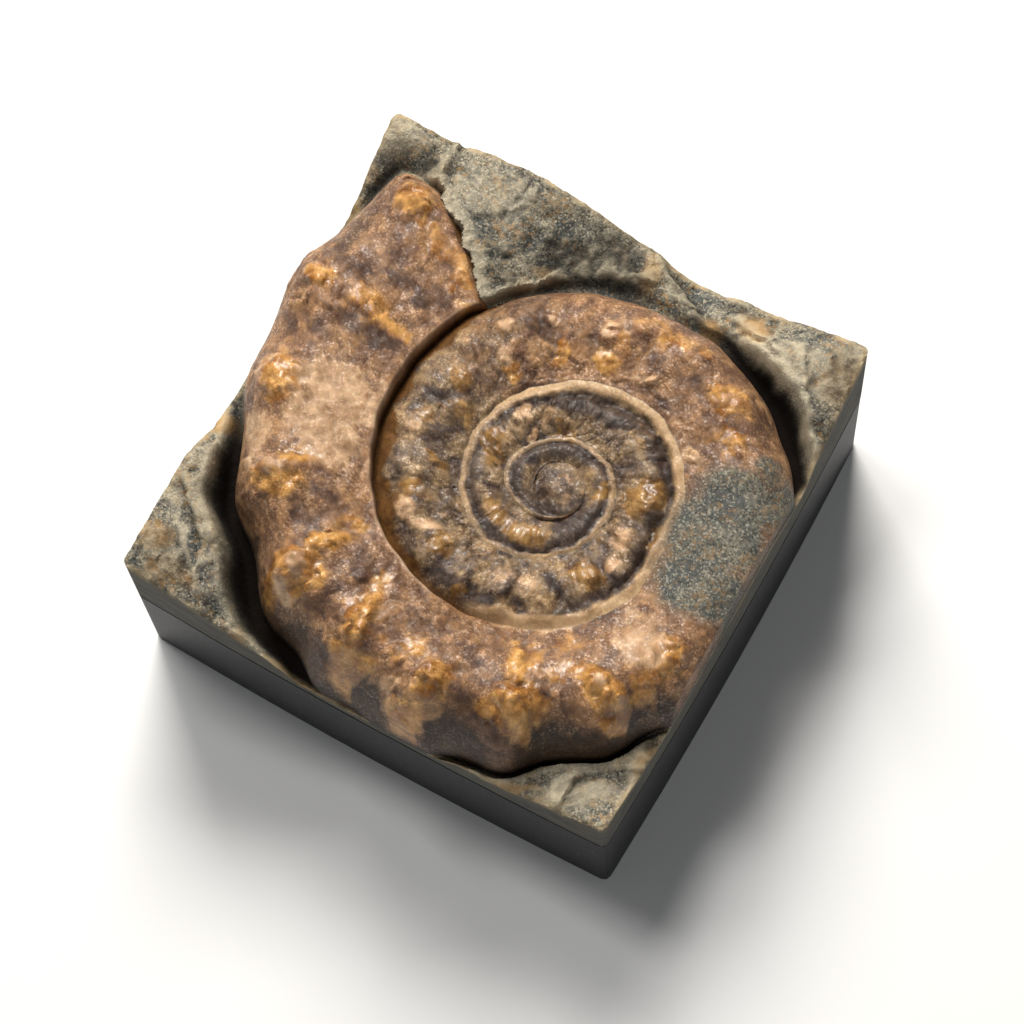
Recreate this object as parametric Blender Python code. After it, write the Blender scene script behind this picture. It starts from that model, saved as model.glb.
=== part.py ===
"""A fossil ammonite in its own rock, sawn to a square block and glued on a dark hollow base.

Lengths are in millimetres until a mesh is made, and the origin is under the middle of the
block, where its rim rests. +Z is up. The coiled shell starts at the corner (-X, +Y), runs
anticlockwise seen from above and winds inwards. Where it meets the sawn sides it is cut.
"""
import math

import bmesh
import bpy
import numpy as np
from mathutils import Vector
from mathutils.geometry import delaunay_2d_cdt

MM = 0.001

# Block: a square with slightly rounded sides, the stone on top of the base
SIDE = 18.0
SIDE_BULGE = 0.17
CORNER_RADIUS = 0.25
BASE_HEIGHT = 5.14
GLUE_GAP = 0.10

# Underside of the base: a hollow with a socket post in the middle
WALL = 1.5
HOLLOW_DEPTH = 4.2
POST_DIAMETER = 5.5
POST_RECESS = 0.4
SOCKET_LENGTH = 4.1
SOCKET_WIDTH = 1.3
SOCKET_DEPTH = 3.5
POST_SIDES = 24
HOLLOW_CORNER = 0.8

# Coil: radius of its outer edge every 30 degrees, from 120 degrees on, round COIL_CENTRE
COIL_CENTRE = (1.84, -0.02)
COIL_FIRST = 120.0
COIL_STEP = 30.0
COIL_RADII = (
    12.35, 12.0, 10.95, 10.15, 9.7, 9.25, 8.95, 8.65, 8.4, 8.15, 7.83, 7.25,
    6.85, 6.42, 6.0, 5.72, 5.4, 5.05, 4.92, 4.85, 4.47, 4.55, 4.35, 3.86,
    3.38, 3.12, 2.9, 2.79, 2.76, 2.68, 2.52, 2.42, 2.33, 2.3, 2.05, 1.83,
    1.58, 1.49, 1.46, 1.32, 1.14, 1.15, 1.22, 1.3, 1.31)
MOUTH_ANGLE = 138.6
MOUTH_BOW = 0.8
MOUTH_ROUNDING = 1.1
COIL_LAST = COIL_FIRST + COIL_STEP * (len(COIL_RADII) - 1)
HUB_RADII = (
    (0, 1.31), (30, 1.2), (60, 1.1), (90, 0.95), (120, 0.75), (150, 0.52), (180, 0.42), (210, 0.40),
    (240, 0.44), (270, 0.55), (285, 0.75), (300, 0.98), (315, 1.12), (330, 1.24), (360, 1.31))

# Height of the coil's outer edge, and of its crest, at some angles along it
EDGE_HEIGHTS = (
    (120, 8.9), (141, 8.5), (149, 7.4), (158, 6.9), (180, 7.2), (195, 6.9), (210, 6.3), (230, 5.95),
    (250, 5.75), (275, 5.85), (295, 6.3), (320, 6.8), (345, 7.6), (375, 7.8), (392, 7.0),
    (420, 7.2), (445, 7.7), (470, 8.0), (500, 8.5), (540, 8.75), (600, 8.75), (640, 8.85), (690, 9.1),
    (730, 9.15), (820, 9.15), (860, 9.0), (1000, 8.92), (1440, 8.75))
CREST_HEIGHTS = (
    (120, 9.3), (140, 9.45), (170, 9.95), (200, 10.1), (250, 9.95), (300, 9.75), (345, 9.65),
    (400, 9.5), (450, 9.5), (560, 9.5), (640, 9.35), (720, 9.2), (830, 9.25), (900, 9.15),
    (1000, 9.1), (1100, 9.05), (1300, 8.98), (1440, 8.85))
CREST_PLACE = 0.45

# Ribs: angle along the coil, height, half width in degrees
OUTER_RIBS = (
    (144, 0.30, 7.5), (166, 0.48, 8), (187, 0.36, 7), (209, 0.48, 7), (230.5, 0.50, 7),
    (248, 0.38, 5.5), (268, 0.42, 6), (290, 0.42, 6), (312, 0.36, 6), (332, 0.40, 6.5))
LATER_RIB_FIRST = 392.0
LATER_RIB_STEP = 19.0
LATER_RIB_HEIGHT = 0.22
LATER_RIB_WIDTH = 5.5
LATER_RIB_END = 760.0
RIB_PLACE = 0.24
RIB_REACH = 0.34
RIB_PUSH = 0.43
LATER_RIB_PUSH = 0.30
WOBBLE = 0.035

# Knobs and chips that stand proud: x, y, half length, half width, turn in degrees, height
KNOBS = (
    (-6.8, 6.4, 0.8, 0.5, 0, 0.30), (-8.3, 2.4, 0.6, 0.5, 0, 0.28),
    (-6.0, 2.4, 1.2, 0.45, -22, 0.26), (-7.6, -1.3, 0.8, 0.6, -20, 0.15),
    (-5.7, -3.9, 1.1, 0.38, 30, 0.32), (-6.2, -4.15, 0.35, 0.2, -10, 0.14),
    (-6.3, -5.2, 0.5, 0.35, -40, 0.22), (-3.9, -6.8, 0.8, 0.45, 65, 0.48),
    (-3.2, -5.4, 0.8, 0.35, 50, 0.28), (-0.9, -7.3, 0.4, 1.1, 0, 0.34),
    (0.6, -7.6, 0.5, 0.35, 30, 0.18), (1.9, -8.0, 0.45, 0.8, 0, 0.32),
    (4.7, -7.2, 0.75, 0.5, -30, 0.42), (4.0, -6.0, 0.8, 0.35, -60, 0.22),
    (5.9, -6.3, 0.4, 0.3, -30, 0.18), (7.0, -5.3, 0.8, 0.45, -15, 0.38),
    (8.3, -3.2, 0.6, 0.6, 0, 0.20), (-1.8, -5.9, 0.5, 0.35, 40, 0.16),
    (2.6, 6.1, 0.7, 0.3, 5, 0.12), (5.3, 5.2, 0.6, 0.35, -35, 0.12),
    (6.9, 3.9, 0.5, 0.3, -40, 0.14), (-1.9, 4.05, 0.28, 0.28, 0, 0.14),
    (-0.7, 4.9, 0.24, 0.22, 0, 0.14), (-1.5, 3.1, 0.45, 0.28, -40, 0.12),
    (-2.4, 1.65, 0.55, 0.42, -30, 0.14), (-1.9, 0.6, 0.6, 0.4, 20, 0.10),
    (-1.6, -2.9, 0.5, 0.35, -40, 0.12), (-0.7, -3.3, 0.5, 0.35, 20, 0.14),
    (1.2, 5.4, 0.4, 0.45, -30, 0.12), (3.1, 4.7, 0.6, 0.3, 10, 0.12),
    (1.6, 4.5, 0.45, 0.3, -20, 0.08), (1.3, -4.3, 0.3, 0.3, 20, 0.14),
    (0.15, 1.75, 0.38, 0.3, -30, 0.12), (5.0, 1.0, 0.5, 0.7, -20, 0.20),
    (4.9, -0.4, 0.42, 0.4, 0, 0.16), (4.5, -2.0, 0.5, 0.45, 0, 0.16),
    (2.2, -3.5, 0.55, 0.4, 20, 0.10), (5.7, 3.0, 0.3, 0.25, 0, 0.14),
    (0.9, -8.4, 0.35, 0.25, 0, 0.12), (-1.7, -1.1, 0.5, 0.25, 15, 0.10),
    (2.3, -1.6, 0.6, 0.4, 0, 0.08), (0.8, -1.4, 0.7, 0.3, -30, 0.06))

# Groove between the shell and the rock: its width at some angles
GROOVE_WIDTHS = (
    (120, 0.2), (140, 0.25), (152, 0.45), (180, 0.4), (200, 0.8), (225, 1.1), (245, 1.0),
    (262, 0.45), (285, 0.25), (310, 0.2), (335, 0.2), (385, 0.7), (405, 0.95), (420, 0.8),
    (435, 0.5), (455, 0.35), (500, 0.4))

# Seams between the whorls, by angle: height and half width of the rim on the inner
# whorl, and depth of the dip inside it
RIM_HEIGHTS = (
    (610, 0.0), (640, 0.03), (720, 0.04), (800, 0.045), (860, 0.035), (920, 0.03), (1080, 0.03),
    (1440, 0.03))
RIM_WIDTHS = (
    (620, 0.24), (680, 0.22), (720, 0.19), (830, 0.22), (880, 0.14), (1000, 0.09), (1080, 0.10),
    (1200, 0.09), (1440, 0.09))
DIP_DEPTHS = (
    (610, 0.0), (650, 0.12), (715, 0.28), (765, 0.28), (800, 0.22), (860, 0.12), (900, 0.07),
    (1080, 0.10), (1440, 0.05))

# Broken top of the rock: spot heights round the rim and between the rim and the shell
ROCK_SPOTS = (
    (-9.1, 9.1, 9.10), (-8.0, 9.1, 9.05), (-7.0, 9.1, 8.75), (-6.4, 9.1, 9.05), (-5.0, 9.1, 9.45),
    (-4.0, 9.1, 9.65), (-3.0, 9.1, 9.50), (-2.0, 9.1, 9.20), (-1.0, 9.1, 8.75), (0.0, 9.1, 8.30),
    (1.0, 9.1, 8.00), (1.6, 9.1, 7.50), (2.6, 9.1, 7.15), (3.6, 9.1, 7.30), (4.3, 9.1, 7.75),
    (5.4, 9.1, 7.85), (6.4, 9.1, 8.45), (7.4, 9.1, 8.95), (9.1, 9.1, 9.60), (-9.1, -9.1, 8.78),
    (-9.1, -7.5, 8.72), (-9.1, -6.0, 8.70), (-9.1, -4.8, 8.60), (-9.1, -3.8, 7.90),
    (-9.1, -3.0, 7.40), (-9.1, 4.0, 7.00), (-9.1, 5.0, 6.70), (-9.1, 6.0, 7.15), (-9.1, 7.0, 7.90),
    (-9.1, 8.0, 8.65), (-8.0, -9.1, 8.60), (-7.0, -9.1, 8.35), (-6.0, -9.1, 8.00),
    (-5.0, -9.1, 7.55), (-4.0, -9.1, 7.10), (-2.6, -9.1, 6.80), (2.6, -9.1, 6.75),
    (4.0, -9.1, 6.60), (5.5, -9.1, 6.60), (6.4, -9.1, 7.00), (7.4, -9.1, 7.30), (9.1, -9.1, 7.80),
    (9.1, -7.6, 7.65), (9.1, -6.2, 7.25), (9.1, -5.2, 7.10), (9.1, 4.4, 7.60), (9.1, 5.2, 8.30),
    (9.1, 6.2, 8.70), (9.1, 7.4, 9.30), (-8.0, -8.0, 8.95), (-6.9, -7.4, 8.80), (-8.3, -6.4, 8.80),
    (-6.4, -8.4, 8.40), (-5.2, -8.5, 7.80), (8.0, -8.3, 7.65), (6.8, -8.3, 7.30), (8.5, -7.0, 7.55),
    (8.3, 8.3, 9.55), (7.0, 8.0, 9.15), (8.4, 6.8, 9.25), (7.6, 7.0, 9.10), (6.0, 7.9, 8.70),
    (5.0, 7.9, 8.30), (4.0, 8.1, 7.95), (3.0, 8.0, 7.65), (2.0, 8.1, 7.80), (1.0, 8.1, 8.20),
    (0.0, 8.0, 8.45), (-1.2, 7.6, 8.45), (-2.2, 7.2, 8.70), (-3.0, 7.2, 9.15), (-4.0, 8.0, 9.60),
    (-5.2, 7.7, 9.70), (-6.1, 8.2, 9.55), (-4.0, 6.2, 9.45), (-3.2, 5.5, 9.10), (-5.4, 6.9, 9.70),
    (-8.4, 8.4, 9.20), (-7.6, 8.7, 9.10), (-7.1, 8.1, 8.80), (-8.2, 7.4, 8.00), (-8.6, 6.2, 7.05),
    (-8.6, 5.0, 6.75))

# Broken ledges of the rock: start and end of the line, drop to its right, reach
LEDGES = (
    (-6.6, 9.3, -6.5, 8.0, -0.40, 0.9), (-6.5, 8.0, -6.1, 7.3, -0.40, 0.7),
    (1.5, 8.9, 4.2, 7.3, -0.45, 0.6), (4.4, 8.2, 6.2, 7.8, 0.35, 0.6),
    (7.1, 8.2, 7.7, 7.0, -0.25, 0.5), (7.7, 7.0, 9.1, 5.2, -0.30, 0.6),
    (-8.6, -5.7, -7.2, -7.0, 0.30, 0.8), (-7.2, -7.0, -6.6, -8.6, 0.25, 0.6),
    (7.2, -9.2, 7.3, -7.9, 0.30, 0.5), (7.3, -7.9, 9.1, -6.4, 0.25, 0.5),
    (-2.4, 4.8, -1.7, 6.6, -0.35, 0.5), (-4.6, 6.9, -3.2, 8.0, 0.15, 0.6),
    (-3.7, 7.6, -3.4, 8.6, -0.15, 0.3))

# Mesh spacing
OUTLINE_SPACING = 0.38
STATION_STEPS = (2.0, 4.0, 6.0, 12.0)
ROCK_SPACING = 0.46
KNOB_CLEARANCE = 0.13
BANK_STEP = 3.0
BASE_SEGMENTS = 10
ROWS_BY_TURN = ((0.03, 0.09, 0.18, 0.28, 0.39, 0.50, 0.61, 0.72, 0.82, 0.91, 0.965),
                (0.05, 0.14, 0.27, 0.42, 0.57, 0.72, 0.85, 0.945),
                (0.08, 0.24, 0.46, 0.68, 0.86, 0.95),
                (0.20, 0.50, 0.80))


def smooth_step(t):
    """Return 0 below 0, 1 above 1 and an S curve between."""
    t = np.clip(t, 0.0, 1.0)
    return t * t * (3.0 - 2.0 * t)


def lattice(ix, iy, seed):
    """Return a fixed pseudo-random value from -1 to 1 for each pair of whole numbers."""
    wave = np.sin(ix * 127.1 + iy * 311.7 + seed * 74.7) * 43758.5453
    return 2.0 * (wave - np.floor(wave)) - 1.0


def lumps(x, y, size, seed):
    """Return smooth noise from -1 to 1 with lumps of the given size."""
    u, v = x / size, y / size
    iu, iv = np.floor(u), np.floor(v)
    su, sv = smooth_step(u - iu), smooth_step(v - iv)
    low = lattice(iu, iv, seed) * (1 - su) + lattice(iu + 1, iv, seed) * su
    high = lattice(iu, iv + 1, seed) * (1 - su) + lattice(iu + 1, iv + 1, seed) * su
    return low * (1 - sv) + high * sv


def roughness(x, y, size, seed, layers):
    """Return noise from about -1 to 1 with ever finer lumps laid over each other."""
    total = np.zeros_like(x)
    for layer in range(layers):
        share = 0.62 ** layer
        turn = 0.6 * layer
        u = x * math.cos(turn) - y * math.sin(turn)
        v = x * math.sin(turn) + y * math.cos(turn)
        total += share * lumps(u, v, size / 1.9 ** layer, seed + layer)
    return total


def grains(x, y, size, seed):
    """Return, for irregular crystals side by side, how far a point is from their joints (0 to
    about 1), the relief of its crystal's tilted face, and the crystal's own tone, -1 to 1."""
    iu, iv = np.floor(x / size), np.floor(y / size)
    nearest = np.full_like(x, 9.0)
    second = np.full_like(x, 9.0)
    face = np.zeros_like(x)
    tone = np.zeros_like(x)
    for du in (-1, 0, 1):
        for dv in (-1, 0, 1):
            cu, cv = iu + du, iv + dv
            px = (cu + 0.5 + 0.42 * lattice(cu, cv, seed)) * size
            py = (cv + 0.5 + 0.42 * lattice(cu, cv, seed + 1)) * size
            gap = np.hypot(x - px, y - py) / size
            lean_x, lean_y = lattice(cu, cv, seed + 2), lattice(cu, cv, seed + 3)
            closer = gap < nearest
            second = np.where(closer, nearest, np.minimum(second, gap))
            face = np.where(closer, ((x - px) * lean_x + (y - py) * lean_y) / size, face)
            tone = np.where(closer, lattice(cu, cv, seed + 4), tone)
            nearest = np.where(closer, gap, nearest)
    return second - nearest, face, tone


def shell_crystals(x, y, angle):
    """Return the crystals of the shell: their joints, faces and tones, large on inner turns."""
    warp_x = x + 0.13 * roughness(x, y, 0.7, 21, 3)
    warp_y = y + 0.13 * roughness(x, y, 0.7, 25, 3)
    later = smooth_step((angle - 430) / 50)
    small = grains(warp_x, warp_y, 0.50, 31)
    large = grains(warp_x, warp_y, 0.82, 3)
    return [a + (b - a) * later for a, b in zip(small, large)]


def along(angle, table):
    """Read a table of (angle, value) pairs at an angle along the coil."""
    angles, values = zip(*table)
    return np.interp(angle, angles, values)


def rib_wave(angle):
    """Return the height of the ribs at an angle along the coil."""
    height = np.zeros_like(angle)
    for place, size, width in OUTER_RIBS:
        height += size * np.exp(-((angle - place) / width) ** 2)
    later = (LATER_RIB_HEIGHT
             * np.exp(-((np.mod(angle - LATER_RIB_FIRST + LATER_RIB_STEP / 2, LATER_RIB_STEP)
                         - LATER_RIB_STEP / 2) / LATER_RIB_WIDTH) ** 2))
    inside = (angle > LATER_RIB_FIRST - 8) & (angle < LATER_RIB_END)
    return height + np.where(inside, later, 0.0)


def coil_radius(angle):
    """Return the radius of the coil's outer edge by a cubic through COIL_RADII."""
    radii = np.array(COIL_RADII)
    place = np.clip((angle - COIL_FIRST) / COIL_STEP, 0.0, len(radii) - 1.0001)
    index = np.floor(place).astype(int)
    t = place - index
    p0 = radii[np.maximum(index - 1, 0)]
    p1 = radii[index]
    p2 = radii[index + 1]
    p3 = radii[np.minimum(index + 2, len(radii) - 1)]
    smooth = p1 + 0.5 * t * (p2 - p0 + t * (2 * p0 - 5 * p1 + 4 * p2 - p3
                                            + t * (3 * (p1 - p2) + p3 - p0)))
    outer_turn = smooth_step((400 - angle) / 60)
    next_turn = smooth_step((angle - 392) / 20) * smooth_step((520 - angle) / 20)
    smooth = smooth + RIB_PUSH * outer_turn * (rib_wave(angle) / 0.5 - 0.4)
    smooth = smooth + LATER_RIB_PUSH * next_turn * (rib_wave(angle) - 0.1)
    smooth = smooth - MOUTH_ROUNDING * smooth_step((MOUTH_ANGLE + 4.5 - angle) / 5.5)
    turn = np.radians(angle)
    ripple = 0.6 * np.sin(9.3 * turn + 1.0) + 0.5 * np.sin(16.7 * turn) + 0.4 * np.sin(31.1 * turn)
    return smooth + WOBBLE * ripple * smooth_step((angle - 150) / 30) * smooth_step((1300 - angle) / 200)


def inner_radius(angle):
    """Return the radius of the coil's inner edge: the next turn in, or the hub."""
    hub = along(np.mod(angle, 360.0), HUB_RADII)
    return np.where(angle + 360.0 <= COIL_LAST, coil_radius(angle + 360.0), hub)


def mouth_angle(distance):
    """Return where the shell's outer end breaks off: a line that bows outwards in the middle."""
    return MOUTH_ANGLE - MOUTH_BOW * np.exp(-((distance - 7.9) / 1.7) ** 2)


def coil_place(x, y):
    """Return the angle along the coil and the distance outside it."""
    dx, dy = x - COIL_CENTRE[0], y - COIL_CENTRE[1]
    distance = np.hypot(dx, dy)
    mouth = mouth_angle(distance)
    angle = np.mod(np.degrees(np.arctan2(dy, dx)) - mouth, 360.0) + mouth
    found = angle.copy()
    for turn in (1, 2, 3):
        inner = coil_radius(angle + 360.0 * turn)
        reachable = angle + 360.0 * turn <= COIL_LAST
        found = np.where((distance < inner) & reachable, angle + 360.0 * turn, found)
    return found, distance - coil_radius(found)


def knob_relief(x, y):
    """Return the height of the knobs and chips, each a dome with a ragged outline."""
    x = x + 0.10 * roughness(x, y, 0.6, 11, 3)
    y = y + 0.10 * roughness(x, y, 0.6, 15, 3)
    total = np.zeros_like(x)
    for px, py, length, width, turn, height in KNOBS:
        c, s = math.cos(math.radians(turn)), math.sin(math.radians(turn))
        u = ((x - px) * c + (y - py) * s) / length
        v = ((y - py) * c - (x - px) * s) / width
        total = np.maximum(total, height * smooth_step((1.2 - np.hypot(u, v)) / 0.7))
    return total


def shell_height(x, y, angle, outer, inner, radius):
    """Return the height of the shell: a round whorl with ribs, seams and crystals."""
    v = np.clip((outer - radius) / np.maximum(outer - inner, 0.01), 0.0, 1.0)
    outer_half = v < CREST_PLACE
    t = np.where(outer_half, v / CREST_PLACE, (1 - v) / (1 - CREST_PLACE))
    seam = np.where(outer_half, angle, angle + 360.0)
    edge = along(seam, EDGE_HEIGHTS)
    steepness = np.where(outer_half, 2.0, 40.0)
    steep = np.sqrt(np.clip(1.0 - (1.0 - t) ** steepness, 0.0, 1.0))
    gentle = np.sin(np.pi / 2 * t)
    steep = np.where(outer_half, steep, 0.75 * steep + 0.25 * gentle)
    arch = steep + (gentle - steep) * smooth_step((seam - 600) / 50)
    height = edge + (along(angle, CREST_HEIGHTS) - edge) * arch
    body = smooth_step(v / np.where(angle < 400, 0.06, 0.20)) * smooth_step((1 - v) / 0.06)
    ribs = rib_wave(angle) * np.exp(-((v - RIB_PLACE) / RIB_REACH) ** 2)
    later_turn = smooth_step((angle - 440) / 40)
    rough = 0.05 * (lumps(x, y, 1.3, 5) + 0.7 * lumps(x, y, 0.6, 6))
    on_ribs = smooth_step((rib_wave(angle) - 0.08) / 0.25) * smooth_step((0.66 - v) / 0.25)
    knobs = knob_relief(x, y) * (1.0 - 0.3 * smooth_step((400 - angle) / 20))
    glassy = np.maximum(on_ribs, np.clip(knobs / 0.15, 0.0, 1.0))
    glassy = np.maximum(glassy, later_turn * smooth_step((1300 - angle) / 400))
    joint, face, tone = shell_crystals(x, y, angle)
    pillow = smooth_step(joint / 0.40) - 0.5
    coarse = (0.10 - 0.04 * later_turn) * pillow * (0.7 + 0.3 * tone)
    coarse = coarse + (0.26 - 0.10 * later_turn) * face * (0.7 * pillow + 0.65)
    crystal = np.maximum(glassy, 0.25) * coarse
    height = height + body * (ribs + rough + crystal + knobs)
    out = outer - radius
    width = along(angle, RIM_WIDTHS) * (1.0 + 0.15 * lumps(x, y, 0.7, 91) + 0.15 * lumps(x, y, 0.3, 92))
    scallops = 1.0 + 0.25 * np.sin(np.radians(angle) * 31.0) + 0.30 * lumps(x, y, 0.45, 94)
    rim = along(angle, RIM_HEIGHTS) * smooth_step((2.0 - out / width) / 0.9)
    beyond = (radius - inner) / (1.5 * along(angle + 360, RIM_WIDTHS))
    rim = rim + along(angle + 360, RIM_HEIGHTS) * np.exp(-beyond ** 2)
    place = (out - 2.7 * width * (0.85 + 0.15 * scallops)) / (0.9 * width)
    dip = along(angle, DIP_DEPTHS) * np.exp(-place ** 2)
    plain = smooth_step((2.2 - out / width) / 0.8) * smooth_step((angle - 620) / 30)
    relief = body * (crystal + 0.7 * knobs)
    return height - relief * plain + rim - dip


class RockTop:
    """Smooth surface through the spot heights, a thin plate bent over them."""

    def __init__(self, spots):
        self.spots = np.array(spots)
        count = len(spots)
        plane = np.column_stack([np.ones(count), self.spots[:, :2]])
        system = np.zeros((count + 3, count + 3))
        system[:count, :count] = self.bend(self.spots[:, 0], self.spots[:, 1])
        system[:count, :count] += 0.02 * np.eye(count)
        system[:count, count:] = plane
        system[count:, :count] = plane.T
        right = np.concatenate([self.spots[:, 2], np.zeros(3)])
        self.weights = np.linalg.solve(system, right)

    def bend(self, x, y):
        square = ((x[:, None] - self.spots[None, :, 0]) ** 2
                  + (y[:, None] - self.spots[None, :, 1]) ** 2)
        return 0.5 * square * np.log(np.maximum(square, 1e-12))

    def height(self, x, y):
        a, b, c = self.weights[-3:]
        return self.bend(x, y) @ self.weights[:-3] + a + b * x + c * y


def ledge(x, y, start, end, drop, reach):
    """Return the relief of a broken ledge: higher to the left of the line from start to end,
    lower to its right, fading over a distance to both sides and past its ends."""
    x = x + 0.10 * roughness(x, y, 0.7, 211, 3)
    y = y + 0.10 * roughness(x, y, 0.7, 214, 3)
    length = math.hypot(end[0] - start[0], end[1] - start[1])
    c, s = (end[0] - start[0]) / length, (end[1] - start[1]) / length
    on = (x - start[0]) * c + (y - start[1]) * s
    left = (y - start[1]) * c - (x - start[0]) * s
    past = np.maximum(np.maximum(-on, on - length), 0.0)
    edge = np.tanh(left / 0.07) * np.exp(-np.abs(left) / reach)
    return 0.5 * drop * edge * np.exp(-(past / 0.3) ** 2)


def rock_height(rock, x, y, angle, outside):
    """Return the height of the broken rock, sunk to the groove beside the shell."""
    top = rock.height(x, y)
    top = top + 0.07 * (lumps(x, y, 1.1, 8) + 0.7 * lumps(x, y, 0.55, 9))
    for x1, y1, x2, y2, drop, reach in LEDGES:
        top = top + ledge(x, y, (x1, y1), (x2, y2), drop, reach)
    warp_x = x + 0.20 * roughness(x, y, 1.0, 63, 3)
    warp_y = y + 0.20 * roughness(x, y, 1.0, 66, 3)
    joint, face, _ = grains(warp_x, warp_y, 0.9, 61)
    top = top + 0.14 * face * smooth_step(joint / 0.3)
    floor = along(angle, EDGE_HEIGHTS)
    rise = smooth_step((outside / along(angle, GROOVE_WIDTHS) - 0.3) / 0.7)
    return floor + (top - floor) * rise


def hub_height(x, y, radius, edge):
    """Return the height of the middle of the coil: a low knob beside a pit."""
    height = 8.76 - 0.04 * smooth_step((edge - radius) / 0.35)
    height += 0.22 * np.sqrt(np.clip(1 - ((x - 2.35) ** 2 + (y - 0.15) ** 2) / 0.8, 0, 1))
    valley = ((x - 1.75) * 0.79 + (y + 0.2) * 0.61) / 0.22
    ends = ((x - 1.75) * 0.61 - (y + 0.2) * 0.79) / 0.8
    height -= 0.10 * np.exp(-valley ** 2 - ends ** 2)
    return height - 0.16 * np.exp(-((x - 1.95) ** 2 + (y + 0.42) ** 2) / 0.05)


def top_height(rock, x, y):
    """Return the height of the whole top, shell and rock."""
    angle, outside = coil_place(x, y)
    outer, inner = coil_radius(angle), inner_radius(angle)
    radius = outer + outside
    shell = shell_height(x, y, angle, outer, inner, radius)
    shell = shell - 2.0 * smooth_step((mouth_angle(radius) + 1.5 - angle) / 8.0)
    shell = np.where(radius < inner, hub_height(x, y, radius, inner), shell)
    stone = rock_height(rock, x, y, angle, np.maximum(outside, 0.0))
    return np.where(outside < 0.0, shell, stone)


def side_bulge(t):
    """Return how far a side stands out at t, from -1 to 1 between its corners."""
    return SIDE_BULGE * (1.0 - t * t)


def block_outline(spacing):
    """Return the block's outline from above, anticlockwise, with small round corners."""
    half = SIDE / 2
    straight = half - CORNER_RADIUS
    count = max(2, round(2 * straight / spacing))
    points = []
    for turn in range(4):
        c, s = math.cos(turn * math.pi / 2), math.sin(turn * math.pi / 2)
        for i in range(count + 1):
            along_side = straight * (2 * i / count - 1)
            out = half + side_bulge(along_side / straight)
            points.append((c * out - s * along_side, s * out + c * along_side))
        middle = CORNER_RADIUS * math.sqrt(0.5)
        corner = straight + middle
        points.append((c * corner - s * corner, s * corner + c * corner))
    return points


def inside_block(x, y, margin):
    """Tell which points lie inside the block by at least the margin."""
    straight = SIDE / 2 - CORNER_RADIUS
    x_limit = SIDE / 2 + side_bulge(np.clip(y / straight, -1, 1)) - margin
    y_limit = SIDE / 2 + side_bulge(np.clip(x / straight, -1, 1)) - margin
    return (np.abs(x) < x_limit) & (np.abs(y) < y_limit)


def coil_points(angle, across):
    """Return points on the coil at an angle along it and a place across it."""
    outer = coil_radius(angle)
    radius = outer + (inner_radius(angle) - outer) * across
    turn = np.radians(angle)
    return COIL_CENTRE[0] + radius * np.cos(turn), COIL_CENTRE[1] + radius * np.sin(turn)


def coil_stations():
    """Return angles along the coil, at steps that grow from turn to turn."""
    angles = []
    start = MOUTH_ANGLE
    for step in STATION_STEPS:
        end = min(start + 360.0, COIL_LAST)
        angles.append(np.arange(start, end - step / 2, step))
        start = end
    return np.concatenate(angles)


def knob_points():
    """Return a point on each knob and a ring of points round its crown."""
    xs, ys = [], []
    for x, y, length, width, turn, _ in KNOBS:
        c, s = math.cos(math.radians(turn)), math.sin(math.radians(turn))
        ring = np.radians(np.arange(0.0, 360.0, 60.0))
        u = np.append(0.6 * length * np.cos(ring), 0.0)
        v = np.append(0.6 * width * np.sin(ring), 0.0)
        xs.append(x + u * c - v * s)
        ys.append(y + u * s + v * c)
    return np.concatenate(xs), np.concatenate(ys)


def hub_points():
    """Return rings of points in the middle of the coil."""
    ring = np.arange(0.0, 360.0, 30.0)
    share = np.repeat((0.3, 0.62, 0.88), len(ring))
    ring = np.tile(ring, 3)
    radius = share * along(ring, HUB_RADII)
    turn = np.radians(ring)
    return COIL_CENTRE[0] + radius * np.cos(turn), COIL_CENTRE[1] + radius * np.sin(turn)


def shell_points():
    """Return the free points of the shell: rows across each whorl, knobs and the hub."""
    knob_x, knob_y = knob_points()
    hub_x, hub_y = hub_points()
    xs, ys = [knob_x, hub_x], [knob_y, hub_y]
    for angle in coil_stations()[1:]:
        turn = min(int((angle - MOUTH_ANGLE) // 360), len(ROWS_BY_TURN) - 1)
        rows = np.array(ROWS_BY_TURN[turn])
        x, y = coil_points(np.full(len(rows), angle), rows)
        gap = np.hypot(x[:, None] - knob_x[None, :], y[:, None] - knob_y[None, :]).min(axis=1)
        xs.append(x[gap > KNOB_CLEARANCE])
        ys.append(y[gap > KNOB_CLEARANCE])
    return np.concatenate(xs), np.concatenate(ys)


def rock_points():
    """Return the free points of the rock: a loose grid, and a row along the groove's bank."""
    count = int(SIDE / ROCK_SPACING) + 2
    grid = (np.arange(count) - (count - 1) / 2) * ROCK_SPACING
    x, y = (side.ravel() for side in np.meshgrid(grid, grid))
    row, column = np.round(x / ROCK_SPACING * 2), np.round(y / ROCK_SPACING * 2)
    x = x + 0.28 * ROCK_SPACING * lattice(row, column, 11)
    y = y + 0.28 * ROCK_SPACING * lattice(row, column, 12)
    angle, outside = coil_place(x, y)
    keep = (outside > along(angle, GROOVE_WIDTHS) + 0.25) | (angle > 490) & (outside > 0.20)
    keep &= inside_block(x, y, 0.22)
    bank = np.arange(MOUTH_ANGLE + 4.0, 490.0, BANK_STEP)
    turn = np.radians(bank)
    radius = coil_radius(bank) + along(bank, GROOVE_WIDTHS) * 0.95
    bank_x = COIL_CENTRE[0] + radius * np.cos(turn)
    bank_y = COIL_CENTRE[1] + radius * np.sin(turn)
    near = inside_block(bank_x, bank_y, 0.15)
    return np.append(x[keep], bank_x[near]), np.append(y[keep], bank_y[near])


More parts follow.
